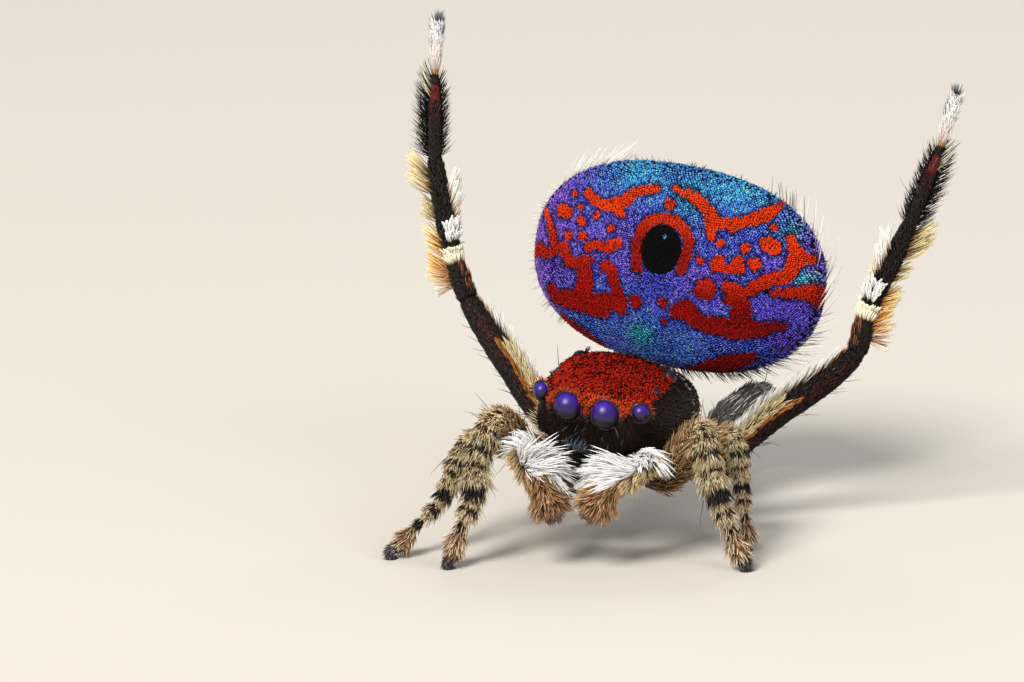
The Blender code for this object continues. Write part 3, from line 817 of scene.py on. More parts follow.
@dataclass
class Shell:
    """One closed loft of the skin, with its place on the unwrap."""

    rings: list[Array]
    tints: list[Array]
    ends: tuple[Array, Array]
    patch: Quad
    material: int

    def build(self, name: str) -> bpy.types.Object:
        """Extrudes the first ring along the others and closes both ends.

        Args:
            name: The object's name.

        Returns:
            The loft, in metres, with its unwrap and its colours.
        """
        bm = bmesh.new()
        sides = len(self.rings[0])
        made = bmesh.ops.create_circle(bm, segments=sides, radius=1.0)["verts"]
        row = list(made)
        rows = {vert: (0, k) for k, vert in enumerate(row)}
        for vert, spot in zip(row, self.rings[0]):
            vert.co = (spot - MIDDLE) * MM
        first_edges = list(bm.edges)
        edges = first_edges
        for number, ring in enumerate(self.rings[1:], 1):
            grown = bmesh.ops.extrude_edge_only(bm, edges=edges)["geom"]
            fresh = set(fresh_verts(grown))
            after = []
            for k, vert in enumerate(row):
                other = next(
                    edge.other_vert(vert)
                    for edge in vert.link_edges
                    if edge.other_vert(vert) in fresh
                )
                other.co = (ring[k] - MIDDLE) * MM
                rows[other] = (number, k)
                after.append(other)
            row = after
            edges = fresh_edges(grown, fresh)
        poles = {}
        for key, (rim, spot) in enumerate(((first_edges, self.ends[0]), (edges, self.ends[1]))):
            grown = bmesh.ops.extrude_edge_only(bm, edges=rim)["geom"]
            centre = Vector((spot - MIDDLE) * MM)
            bmesh.ops.pointmerge(bm, verts=fresh_verts(grown), merge_co=centre)
            pole = min(bm.verts, key=lambda vert: (vert.co - centre).length)
            poles[pole] = 0 if key == 0 else len(self.rings) - 1
        bmesh.ops.recalc_face_normals(bm, faces=bm.faces[:])
        self._unwrap(bm, rows, poles)
        return link(name, mesh_of(bm, name, smooth=False))

    def _unwrap(
        self,
        bm: bmesh.types.BMesh,
        rows: dict[bmesh.types.BMVert, tuple[int, int]],
        poles: dict[bmesh.types.BMVert, int],
    ) -> None:
        """Writes each face corner's place on the unwrap and its colour.

        Args:
            bm: The loft.
            rows: The ring and the place on it of each vertex.
            poles: The ring beside each end point.
        """
        chart = bm.loops.layers.uv.new(BAKE_MAP)
        colour = bm.loops.layers.float_color.new(TINT)
        sides = len(self.rings[0])
        u0, v0, du, dv = self.patch
        last = len(self.rings) - 1
        for face in bm.faces:
            face.material_index = self.material
            columns = [rows[v][1] for v in face.verts if v in rows]
            wraps = max(columns) - min(columns) > sides / 2
            middle = sum(c + (sides if wraps and c == 0 else 0) for c in columns) / len(columns)
            for loop in face.loops:
                if loop.vert in rows:
                    number, column = rows[loop.vert]
                    tint = self.tints[number][column]
                    share = column + (sides if wraps and column < sides / 2 else 0)
                else:
                    number, share = poles[loop.vert], middle
                    tint = self.tints[number].mean(axis=0)
                loop[chart].uv = (u0 + du * number / last, v0 + dv * share / sides)
                loop[colour] = (*tint, 1.0)


def plain_tints(rings: Sequence[Array], colour: Array) -> list[Array]:
    """One colour for every point of some rings."""
    return [np.tile(colour, (len(ring), 1)) for ring in rings]


@dataclass
class Skin:
    """One skin over all the flesh, joined so that no seam shows."""

    shells: list[Shell] = field(default_factory=list)

    def build(self, finishes: Sequence[bpy.types.Material]) -> bpy.types.Object:
        """Joins the lofts in one union.

        Args:
            finishes: The skin's materials, in the order that the shells name.

        Returns:
            The skin.
        """
        objects = [shell.build(f"shell_{k}") for k, shell in enumerate(self.shells)]
        for item in objects:
            for material in finishes:
                item.data.materials.append(material)
        skin = objects[0]
        skin.name = "skin"
        holder = bpy.data.collections.new("shells")
        for item in objects[1:]:
            holder.objects.link(item)
        tool = skin.modifiers.new("join", "BOOLEAN")
        tool.operation = "UNION"
        tool.operand_type = "COLLECTION"
        tool.collection = holder
        tool.solver = "EXACT"
        tool.material_mode = "TRANSFER"
        bpy.context.view_layer.update()
        graph = bpy.context.evaluated_depsgraph_get()
        mesh = bpy.data.meshes.new_from_object(skin.evaluated_get(graph))
        skin.modifiers.clear()
        skin.data = mesh
        for item in objects[1:]:
            bpy.data.objects.remove(item, do_unlink=True)
        bpy.data.collections.remove(holder)
        mesh.shade_smooth()
        return skin


# Limbs.


# How far from a joint its bend starts, in millimetres and at most as a share
# of the part, and the half width of a foot's flat.
BEND = 0.14
BEND_SHARE = 0.36
FOOT_RADIUS = 0.055


@dataclass
class Limb(Surface):
    """A leg or a palp: a smooth jointed tube that coats grow from.

    u runs from the body to the tip, and v round the limb from its outer side
    over its front. A place on it is also told in joints from the body.
    """

    name: str
    joints: tuple[Triple, ...]
    widths: tuple[Triple, ...]
    outer: Triple
    foot: bool
    depth: float = 0.035
    waist: float = 0.12
    sides: int = 20
    flex: float = 3.5

    def __post_init__(self) -> None:
        """Works out the limb's middle line, its widths and its frames."""
        places, halves, marks = self._rounded()
        steps = np.linalg.norm(np.diff(places, axis=0), axis=1)
        runs = np.concatenate(([0.0], np.cumsum(steps)))
        self.length = float(runs[-1])
        self.line = Profile(np.column_stack((runs, places)), limited=False)
        self.girth = Profile(np.column_stack((runs, halves)))
        self.knots = np.array([0.0, *(runs[k] for k in marks), self.length])
        count = 320
        self.grid = np.linspace(0.0, self.length, count)
        middles = self.line.at(self.grid)
        ways = unit(np.gradient(middles, axis=0))
        anchor = int(np.argmin(np.abs(self.joint_of(self.grid / self.length) - self.flex)))
        outward = np.array(self.outer)
        sides = np.zeros((count, 3))
        sides[anchor] = unit(outward - ways[anchor] * outward.dot(ways[anchor]))
        for k in (*range(anchor + 1, count), *range(anchor - 1, -1, -1)):
            before = sides[k - 1] if k > anchor else sides[k + 1]
            sides[k] = unit(before - ways[k] * before.dot(ways[k]))
        fronts = np.cross(ways, sides)
        hand = -1.0 if fronts[anchor][1] > 0.0 else 1.0
        self.ways, self.outs, self.fronts = ways, sides, fronts * hand
        self.facing = -hand

    def _rounded(self) -> tuple[Array, Array, list[int]]:
        """Rounds the bends of the jointed path, as the solids do.

        Returns:
            The places, the half widths, and the rows of the inner joints.
        """
        joints = [np.array(joint) for joint in self.joints]
        places, halves, marks = [], [], []
        count = len(joints) - 1
        for k in range(count):
            start, end = joints[k], joints[k + 1]
            length = float(np.linalg.norm(end - start))
            way = (end - start) / length
            lead = min(BEND, BEND_SHARE * length)
            places.append(start + way * (lead if k else 0.0))
            places.append((start + end) / 2.0)
            halves += list(self.widths[k][:2])
            if k < count - 1:
                last = end - way * lead
                after = joints[k + 2] - end
                size = float(np.linalg.norm(after))
                leave = end + after / size * min(BEND, BEND_SHARE * size)
                places += [last, (last + leave + 2.0 * end) / 4.0]
                halves += [
                    self.widths[k][2], 0.48 * (self.widths[k][2] + self.widths[k + 1][0])
                ]
                marks.append(len(places) - 1)
            elif self.foot:
                places += [np.array((end[0], end[1], 0.075)), np.array((end[0], end[1], 0.0))]
                halves += [self.widths[k][2], FOOT_RADIUS]
            else:
                places += [start + (end - start) * 0.82, start + (end - start) * 0.95]
                halves += [self.widths[k][2] * 1.1, self.widths[k][2] * 0.7]
        return np.array(places), np.array(halves), marks

    def joint_of(self, u: Array) -> Array:
        """The place in joints from the body, for a share of the length."""
        return np.interp(np.asarray(u) * self.length, self.knots, np.arange(len(self.knots)))

    def radius(self, u: Array) -> Array:
        """The skin's half width, drawn in a little at each joint."""
        run = np.clip(u, 0.0, 1.0) * self.length
        half = np.maximum(self.girth.at(run) - self.depth, 0.022)
        for knot in self.knots[1:-1]:
            half = half * (1.0 - self.waist * np.exp(-(((run - knot) / 0.035) ** 2)))
        return half

    def axes(self, u: Array) -> tuple[Array, Array, Array]:
        """The way, the outer side and the front at shares of the length."""
        run = np.clip(u, 0.0, 1.0) * self.length
        found = []
        for table in (self.ways, self.outs, self.fronts):
            found.append(unit(np.column_stack(
                [np.interp(run, self.grid, table[:, k]) for k in range(3)]
            )))
        return found[0], found[1], found[2]

    def point(self, u: Array, v: Array) -> Array:
        """Places on the limb's skin."""
        _, out, front = self.axes(u)
        middle = self.line.at(np.clip(u, 0.0, 1.0) * self.length)
        turn = np.asarray(v) * math.tau
        half = self.radius(u)
        reach = out * np.cos(turn)[:, None] + front * np.sin(turn)[:, None]
        return middle + reach * half[:, None]

    def direction(self, u: Array, v: Array) -> Array:
        """Hairs lie towards the tip."""
        return self.axes(u)[0]

    def shell(self, patch: Quad, material: int, tint: Chart) -> Shell:
        """The limb's share of the skin.

        Args:
            patch: Its place on the unwrap.
            material: The number of its material on the skin.
            tint: Gives the colour for joints from the body and degrees round.

        Returns:
            The loft.
        """
        count = int(self.length / 0.045)
        stations = np.linspace(0.0, 1.0, count)
        v = np.arange(self.sides) / self.sides
        rings, tints = [], []
        for u in stations:
            spots = np.full(self.sides, u)
            rings.append(self.point(spots, v))
            tints.append(tint(self.joint_of(spots), v * 360.0))
        first = self.line.at(0.0) - self.ways[0] * 0.01
        last = self.line.at(self.length)
        if not self.foot:
            last = np.array(self.joints[-1]) - self.ways[-1] * 0.02
        return Shell(rings, tints, (first, last), patch, material)


# The whole way round a limb, in degrees.
AROUND = (0.0, 359.9)


@dataclass(frozen=True)
class Growth:
    """One kind of hair on a limb.

    span is in joints from the body, arc in degrees from the limb's outer
    side over its front, clump is how far the tips draw together and how many
    share a tuft, and scatter the spread of their light.
    """

    count: int
    span: tuple[float, float]
    arc: tuple[float, float]
    shape: HairShape
    root: str
    tip: str
    clump: tuple[float, int] = (0.0, 8)
    scatter: float = 0.25


def dress_limb(limb: Limb, growths: Sequence[Growth], seed: int) -> list[Strands]:
    """Grows plain-coloured hairs on a limb.

    Args:
        limb: The limb.
        growths: The kinds of hair.
        seed: The first seed; each kind takes the next one.

    Returns:
        One group of strands for each kind.
    """
    groups = []
    for number, growth in enumerate(growths):
        low, high = growth.span
        first, last = growth.arc

        def weight(u: Array, v: Array) -> Array:
            """Open within the span and the arc."""
            joint = limb.joint_of(u)
            turn = (v * 360.0 - first) % 360.0
            return ((joint >= low) & (joint <= high) & (turn <= last - first)).astype(float)

        roots = limb.plant(growth.count, seed + number, weight)
        draw = np.random.default_rng(seed + number + 500)
        light = 1.0 + growth.scatter * draw.uniform(-1.0, 1.0, (growth.count, 1))
        tints = (linear(growth.root)[None] * light, linear(growth.tip)[None] * light)
        groups.append(grow(roots, growth.shape, tints, seed + number, growth.clump))
    return groups


# The front body.


# The front body's half width, top and underside as (place, value), with the
# place running from the face to the rear, and its rings as (share of the
# way, place, size).
CARAPACE_WIDTH = (
    (-0.98, 0.5), (-0.7, 0.61), (-0.2, 0.69), (0.3, 0.71),
    (0.7, 0.61), (0.98, 0.38), (1.12, 0.16),
)
CARAPACE_TOP = (
    (-0.98, 0.25), (-0.8, 0.32), (-0.3, 0.335), (0.05, 0.285),
    (0.45, 0.13), (0.85, -0.12), (1.12, -0.26),
)
CARAPACE_UNDER = (
    (-0.98, -0.32), (-0.76, -0.42), (-0.46, -0.76), (0.05, -0.84),
    (0.6, -0.8), (0.92, -0.58), (1.12, -0.36),
)
CARAPACE_ROWS = (
    (0.0, -0.985, 0.02), (0.06, -0.985, 0.4), (0.11, -0.981, 0.74),
    (0.14, -0.968, 0.9), (0.17, -0.945, 0.975), (0.2, -0.91, 1.0),
    (0.56, 0.05, 1.0), (0.92, 0.98, 1.0), (0.97, 1.08, 1.0), (1.0, 1.115, 0.7),
)

# The black of the display coat, at the root of its hairs.
BLACK = "#0C0807"


@dataclass
class Carapace(Surface):
    """The front body: flat face, red cap between the eyes, bare sides."""

    depth: float = 0.01
    cap_half: float = 0.585
    cap_rear: float = 0.24
    cells: tuple[int, int] = (150, 110)

    def __post_init__(self) -> None:
        """Makes the curves of the body's outline."""
        self.wide = Profile(CARAPACE_WIDTH)
        self.top = Profile(CARAPACE_TOP)
        self.under = Profile(CARAPACE_UNDER)
        self.rows = Profile(CARAPACE_ROWS)

    def local(self, u: Array, v: Array) -> Array:
        """Places on the skin in the head's own frame."""
        row = self.rows.at(u)
        y, shrink = row[:, 0], row[:, 1]
        wide, top, under = self.wide.at(y), self.top.at(y), self.under.at(y)
        middle = np.minimum(-0.18 + 0.1 * np.maximum(0.0, y), 0.5 * (top + under))
        angle = np.asarray(v) * math.tau
        c, s = np.cos(angle), np.sin(angle)
        upper = s > 0.0
        reach = np.where(upper, top - middle, middle - under) - self.depth
        x = (wide - self.depth) * np.where(upper, signed_power(c, 0.8), signed_power(c, 1.25))
        z = np.where(upper, signed_power(s, 0.72), s) * reach
        return np.column_stack((x * shrink, y, middle + z * shrink))

    def point(self, u: Array, v: Array) -> Array:
        """Places on the skin."""
        return HEAD.place(self.local(np.asarray(u, float), np.asarray(v, float)))

    def direction(self, u: Array, v: Array) -> Array:
        """Hairs lie forwards on the cap and down on the face and sides."""
        spot = self.local(u, v)
        cap = self.cap_share(u, v)[:, None]
        face = 1.0 - ramp(spot[:, 1:2], -0.97, -0.8)
        ahead = np.array((0.0, -1.0, 0.0)) + np.outer(spot[:, 0], (0.5, 0.0, 0.0))
        down, back = np.array((0.0, 0.0, -1.0)), np.array((0.0, 0.8, -0.6))
        way = ahead * cap + (down * face + back * (1.0 - face)) * (1.0 - cap)
        return HEAD.turn(way)

    def cap_share(self, u: Array, v: Array) -> Array:
        """1 on the red cap and 0 off it, with a slightly ragged rim."""
        spot = self.local(u, v)
        x, y, z = spot.T
        rag = 0.025 * ripple(x, y, 0.12, 11)
        side = np.abs(x) < self.cap_half + rag
        rear = y < self.cap_rear - 0.25 * np.abs(x) + rag
        edge = np.where(y < -0.9, 0.155 - 0.03 * np.cos(x * 14.0), 0.12)
        above = z > edge + 0.04 * ramp(x, 0.3, 0.5)
        return (side & rear & above & (v < 0.5)).astype(float)

    def tint(self, u: Array, v: Array) -> Array:
        """The skin's colour: dark brown, reddened under the cap."""
        return blend("#0E0807", "#220503", self.cap_share(u, v))

    def shell(self, patch: Quad, material: int) -> Shell:
        """The front body's share of the skin."""
        sides = 72
        v = np.arange(sides) / sides
        stations = np.concatenate((
            np.linspace(0.02, 0.2, 14), np.linspace(0.2, 0.97, 44)[1:], (0.985, 1.0)
        ))
        rings = [self.point(np.full(sides, u), v) for u in stations]
        tints = [self.tint(np.full(sides, u), v) for u in stations]
        ends = tuple(HEAD.place(end) for end in ((0.0, -0.986, -0.03), (0.0, 1.12, -0.31)))
        return Shell(rings, tints, ends, patch, material)

    def cap_scales(self) -> list[Strands]:
        """The red hairs of the cap, with black ones among them."""
        roots = self.plant(7200, 21, self.cap_share)
        draw = np.random.default_rng(22)
        count = len(roots)
        spot = HEAD.local(roots.place)
        cloud = ripple(spot[:, 0], spot[:, 1], 0.22, 5)
        pick = np.clip(draw.normal(0.5, 0.28, count) + 0.2 * cloud, 0.0, 1.0)
        base = blend("#94160E", "#F2381E", pick)
        front = (1.0 - ramp(spot[:, 1], -0.96, -0.72)) * (draw.uniform(0.0, 1.0, count) < 0.6)
        base = blend(base, "#E8641E", front * 0.75)
        share = 0.17 + 0.12 * cloud + 0.25 * ramp(spot[:, 1], 0.02, 0.22)
        dark = draw.uniform(0.0, 1.0, count) < share
        base[dark] = linear("#120403")
        groups = []
        for kind, keep, length, lift in ((0, ~dark, 0.056, 30.0), (1, dark, 0.066, 44.0)):
            shape = HairShape(length, 0.0125, lift, 0.55, 0.25, 20.0, 0.45)
            groups.append(grow(
                roots.pick(keep), shape, (base[keep] * 0.35, base[keep]), 23 + kind, (0.15, 5)
            ))
        return groups

    def bare_hairs(self) -> list[Strands]:
        """The fine hairs of the dark sides, the face and the rear rim."""

        def sides(u: Array, v: Array) -> Array:
            """Thin all over the skin off the cap."""
            dense = np.where(u < 0.06, 3.0, np.where(u < 0.2, 1.4, 1.0))
            return (1.0 - self.cap_share(u, v)) * dense

        def mouth(u: Array, v: Array) -> Array:
            """The pale patch low on the face."""
            x, y, z = self.local(u, v).T
            spread = ((x + 0.06) / 0.11) ** 2 + ((z + 0.27) / 0.07) ** 2
            return np.exp(-spread) * (y < -0.85)

        def rear(u: Array, v: Array) -> Array:
            """The pale line round the rear rim."""
            x, y, _ = self.local(u, v).T
            gap = y - self.cap_rear - 0.16 + 0.2 * np.abs(x)
            return np.exp(-((gap / 0.03) ** 2)) * (v < 0.5)

        def flank(u: Array, v: Array) -> Array:
            """The pale band low on each side."""
            _, y, z = self.local(u, v).T
            band = np.exp(-(((z + 0.36) / 0.1) ** 2))
            return band * ramp(y, -0.3, 0.1)

        def belly(u: Array, v: Array) -> Array:
            """The underside between the legs, behind the jaws."""
            _, y, z = self.local(u, v).T
            return (z < -0.48) * ramp(y, -0.86, -0.7)

        groups = []
        for count, seed, where, shape, root, tip in (
            (6800, 31, sides, HairShape(0.042, 0.0085, 30.0, 0.6, 0.3, 25.0),
             "#060303", "#22110C"),
            (60, 33, sides, HairShape(0.11, 0.0055, 40.0, 0.5, 0.3, 40.0), "#2A211C", "#8A7D72"),
            (150, 35, mouth, HairShape(0.09, 0.007, 34.0, 0.4, 0.3, 50.0), "#1C2126", "#6E7C88"),
            (150, 37, rear, HairShape(0.05, 0.0075, 20.0, 0.6, 0.4, 40.0), "#6D665C", "#CFC9BE"),
            (420, 39, flank, HairShape(0.08, 0.01, 24.0, 0.6, 0.3, 16.0), "#4C443C", "#A79C8C"),
            (900, 43, belly, HairShape(0.13, 0.011, 42.0, 0.4, 0.3, 20.0), "#24160E", "#9C7850"),
        ):
            roots = self.plant(count, seed, where)
            draw = np.random.default_rng(seed + 1)
            light = draw.uniform(0.6, 1.3, (count, 1))
            groups.append(
                grow(roots, shape, (linear(root) * light, linear(tip) * light), seed + 2, (0.2, 5))
            )
        return groups


@dataclass(frozen=True)
class Eye:
    """One eye: its place in the head's frame, its size and where it looks."""

    kind: str
    spot: Triple
    radius: float
    look: Triple
    fringe: int

    def mirrored(self, sign: float) -> tuple[Array, Array]:
        """The centre and the axis on one side, in the spider's frame."""
        flip = np.array((sign, 1.0, 1.0))
        centre = HEAD.place(np.array(self.spot) * flip)
        axis = unit(HEAD.turn(np.array(self.look) * flip))
        return centre, axis

    def ball(self, name: str, sign: float) -> bpy.types.Object:
        """The glossy ball of the eye."""
        centre, axis = self.mirrored(sign)
        bm = bmesh.new()
        bmesh.ops.create_uvsphere(bm, u_segments=56, v_segments=36, radius=self.radius * MM)
        bmesh.ops.transform(bm, matrix=seat(centre, axis), verts=bm.verts[:])
        made = link(name, mesh_of(bm, name))
        lens = Lens(f"eye_cuticle_{name}", tuple(centre), self.radius)
        if self.kind.startswith("eye_posterior"):
            lens = replace(lens, violet="#08050F", blue="#120B22")
        made.data.materials.append(lens.make())
        return made

    def rim(self, bm: bmesh.types.BMesh, sign: float) -> None:
        """Adds the raised ring of cuticle round the eye.

        Args:
            bm: An empty mesh that gets the ring.
            sign: The side of the head.
        """
        thick = 0.012 + self.radius * 0.06
        ring = bmesh.ops.create_circle(bm, segments=12, radius=thick * MM)["verts"]
        stand = Matrix.Translation(((self.radius + thick * 0.55) * MM, 0.0, 0.0))
        stand = stand @ Matrix.Rotation(math.radians(90.0), 4, "X")
        bmesh.ops.transform(bm, matrix=stand, verts=ring)
        bmesh.ops.spin(
            bm, geom=ring + bm.edges[:], cent=(0.0, 0.0, 0.0), axis=(0.0, 0.0, 1.0),
            dvec=(0.0, 0.0, 0.0), angle=math.tau, steps=48, use_merge=True,
            use_duplicate=False,
        )
        bmesh.ops.transform(bm, matrix=seat(*self.mirrored(sign)), verts=bm.verts[:])

    def lashes(self, sign: float, seed: int) -> Strands | None:
        """The orange hairs round the upper rim."""
        if not self.fringe:
            return None
        centre, axis = self.mirrored(sign)
        draw = np.random.default_rng(seed)
        up = HEAD.turn((0.0, 0.0, 1.0))
        up = unit(up - axis * up.dot(axis))
        across = np.cross(axis, up)
        angle = np.radians(draw.uniform(-125.0, 125.0, self.fringe))
        out = np.cos(angle)[:, None] * up + np.sin(angle)[:, None] * across
        reach = self.radius + draw.uniform(0.012, 0.04, (self.fringe, 1))
        place = centre + axis * self.radius * 0.12 + out * reach
        normal = unit(axis + out * 0.3)
        lay = unit(out - normal * np.sum(out * normal, axis=1, keepdims=True))
        high = (np.cos(angle) + 0.4).clip(0.0, 1.0)[:, None]
        front = self.kind.startswith("eye_anterior")
        bright = linear("#E2541A" if front else "#3A0D08")
        tip = bright * high + linear("#30211A") * (1.0 - high)
        roots = Roots(angle / math.tau + 0.5, np.full(self.fringe, 0.5), place, normal, lay)
        shape = HairShape(0.052, 0.008, 48.0, 0.3, 0.3, 18.0, 0.5, BRISTLE)
        return grow(roots, shape, (tip * 0.4, tip), seed)


# The eyes of one side. The other side is their mirror.
EYES = (
    Eye("eye_anterior_median", (0.197, -0.965, 0.105), 0.142, (0.03, -1.0, 0.02), 120),
    Eye("eye_anterior_lateral", (0.525, -0.85, 0.15), 0.088, (0.42, -0.9, 0.12), 60),
    Eye("eye_posterior_median", (0.53, -0.4, 0.19), 0.03, (0.8, -0.2, 0.5), 0),
    Eye("eye_posterior_lateral", (0.472, 0.085, 0.15), 0.082, (0.8, 0.2, 0.55), 60),
)


# The abdomen.


# The back's half sizes, how square its outline is, and the abdomen's rings
# from crown to underside as (depth, share across, share up).
ABDOMEN_HALF_WIDTH = 1.58
ABDOMEN_HALF_HEIGHT = 1.04
ABDOMEN_SQUARE = 0.86
ABDOMEN_ROWS = (
    (-0.447, 0.0, 0.0), (-0.437, 0.2, 0.2), (-0.405, 0.42, 0.42), (-0.335, 0.63, 0.63),
    (-0.225, 0.82, 0.82), (-0.11, 0.945, 0.945), (-0.02, 0.992, 0.992),
    (0.05, 1.0, 1.0), (0.115, 0.965, 0.96), (0.165, 0.86, 0.89),
    (0.22, 0.7, 0.85), (0.32, 0.58, 0.84), (0.5, 0.525, 0.79),
    (0.7, 0.45, 0.68), (0.87, 0.3, 0.46), (0.985, 0.0, 0.0),
)


class Mark(Enum):
    """What a scale on the back is part of."""

    BLUE = 0
    RED = 1
    BLACK = 2
    # A painted highlight: a light blue dot on the black eye spot.
    PAINTED_HIGHLIGHT = 3


# The red markings of the back as brush strokes, each a row of (x, z, half
# width) in millimetres from the middle of the back.
RED_STROKES = (
    ((-1.0, 0.6, 0.035), (-0.89, 0.55, 0.037), (-0.77, 0.52, 0.042), (-0.68, 0.54, 0.055),
     (-0.58, 0.59, 0.065), (-0.48, 0.7, 0.042), (-0.37, 0.75, 0.036), (-0.25, 0.79, 0.027)),
    ((-0.64, 0.56, 0.06), (-0.56, 0.48, 0.035)),
    ((0.04, 0.8, 0.03), (0.16, 0.78, 0.037), (0.27, 0.72, 0.042), (0.36, 0.66, 0.052),
     (0.4, 0.6, 0.068), (0.41, 0.5, 0.045), (0.44, 0.43, 0.028)),
    ((0.42, 0.59, 0.05), (0.54, 0.58, 0.042), (0.7, 0.63, 0.043), (0.81, 0.68, 0.052),
     (0.91, 0.75, 0.057), (0.98, 0.82, 0.036)),
    ((-1.46, 0.31, 0.024), (-1.39, 0.22, 0.02), (-1.31, 0.09, 0.026), (-1.24, -0.05, 0.036)),
    ((-1.54, -0.17, 0.03), (-1.44, -0.08, 0.06), (-1.32, -0.1, 0.042)),
    ((-0.86, 0.08, 0.036), (-0.76, 0.12, 0.034), (-0.63, 0.12, 0.042), (-0.54, 0.19, 0.045)),
    ((-1.14, 0.0, 0.065), (-1.06, -0.11, 0.05), (-0.97, -0.11, 0.05), (-0.9, -0.1, 0.06)),
    ((-0.82, -0.04, 0.036), (-0.9, -0.09, 0.06), (-0.86, -0.18, 0.08), (-0.84, -0.32, 0.085),
     (-0.86, -0.46, 0.11)),
    ((-1.25, -0.45, 0.045), (-1.19, -0.53, 0.06), (-1.06, -0.51, 0.085), (-0.86, -0.49, 0.11),
     (-0.63, -0.46, 0.09), (-0.43, -0.39, 0.08), (-0.4, -0.48, 0.04)),
    ((-0.77, -0.54, 0.06), (-0.6, -0.54, 0.06)),
    ((-0.64, -0.07, 0.05), (-0.55, -0.1, 0.045), (-0.52, -0.19, 0.045), (-0.47, -0.29, 0.055)),
    ((0.53, 0.17, 0.055), (0.54, 0.22, 0.05), (0.53, 0.17, 0.05), (0.65, 0.155, 0.038),
     (0.76, 0.18, 0.052), (0.74, 0.25, 0.048)),
    ((1.19, 0.54, 0.033), (1.24, 0.46, 0.048), (1.29, 0.4, 0.064), (1.27, 0.27, 0.068),
     (1.22, 0.16, 0.064), (1.08, 0.12, 0.058), (0.96, 0.04, 0.055), (0.89, -0.03, 0.05)),
    ((1.31, 0.37, 0.05), (1.39, 0.36, 0.045)),
    ((1.14, -0.01, 0.03), (1.27, 0.01, 0.04), (1.4, 0.03, 0.06), (1.5, 0.04, 0.075),
     (1.54, -0.06, 0.045)),
    ((0.69, -0.03, 0.06), (0.78, -0.07, 0.072), (0.83, -0.19, 0.085), (0.85, -0.3, 0.1)),
    ((0.18, -0.38, 0.06), (0.29, -0.33, 0.092), (0.38, -0.41, 0.085), (0.5, -0.45, 0.075),
     (0.63, -0.44, 0.085), (0.78, -0.45, 0.095), (0.93, -0.43, 0.075), (1.06, -0.4, 0.06),
     (1.18, -0.35, 0.04), (1.26, -0.33, 0.022)),
    ((-1.12, -0.72, 0.03), (-1.04, -0.78, 0.06), (-0.93, -0.84, 0.08), (-0.8, -0.9, 0.08),
     (-0.68, -0.94, 0.06)),
    ((0.2, -1.07, 0.05), (0.4, -0.99, 0.07), (0.58, -0.9, 0.08), (0.74, -0.82, 0.08),
     (0.87, -0.76, 0.06), (0.98, -0.7, 0.03)),
    ((-0.28, -0.01, 0.045), (-0.31, 0.11, 0.05), (-0.32, 0.26, 0.052), (-0.29, 0.39, 0.052),
     (-0.22, 0.48, 0.047), (-0.1, 0.53, 0.045), (0.02, 0.52, 0.045), (0.13, 0.46, 0.047),
     (0.2, 0.36, 0.047), (0.22, 0.24, 0.045), (0.19, 0.14, 0.045), (0.18, 0.05, 0.04)),
    ((0.97, 0.47, 0.055), (1.06, 0.43, 0.06)),
    ((-1.24, 0.37, 0.058), (-1.17, 0.37, 0.05)),
)
# Its red dots, and the black eye spot with a painted highlight on it, as rows
# of (x, z, half width or radius); the spot has a half height too.
RED_DOTS = (
    (-0.07, 0.67, 0.045), (-0.05, 0.82, 0.025), (-1.03, 0.45, 0.025), (-1.14, 0.55, 0.026),
    (-0.82, 0.41, 0.028), (-0.98, 0.32, 0.045), (-0.64, 0.32, 0.032), (-1.11, 0.14, 0.038),
    (-0.94, 0.17, 0.036), (-0.26, -0.36, 0.058), (0.03, -0.31, 0.04), (0.06, -0.5, 0.022),
    (0.53, 0.39, 0.035), (0.79, 0.39, 0.045), (0.64, 0.54, 0.022), (1.0, 0.63, 0.025),
    (0.91, 0.25, 0.055), (0.36, 0.19, 0.028), (0.46, -0.09, 0.098), (0.72, -0.15, 0.048),
)
SPOT = (-0.065, 0.215, 0.205, 0.245)
SPOT_PAINTED_HIGHLIGHT = (-0.055, 0.35, 0.026)


def stroke_gap(x: Array, z: Array, stroke: Sequence[Sequence[float]]) -> Array:
    """How far each place lies outside a brush stroke, or less than 0 inside.

    Args:
        x: First coordinates.
        z: Second coordinates.
        stroke: Rows of x, z and half width; one row makes a dot.

    Returns:
        The distances.
    """
    rows = np.array(stroke, float)
    if len(rows) == 1:
        rows = np.vstack((rows, rows + (1e-6, 0.0, 0.0)))
    best = np.full(np.shape(x), 1e9)
    for a, b in zip(rows, rows[1:]):
        way = b[:2] - a[:2]
        share = ((x - a[0]) * way[0] + (z - a[1]) * way[1]) / max(way @ way, 1e-12)
        share = np.clip(share, 0.0, 1.0)
        gap = np.hypot(x - a[0] - way[0] * share, z - a[1] - way[1] * share)
        best = np.minimum(best, gap - (a[2] + (b[2] - a[2]) * share))
    return best


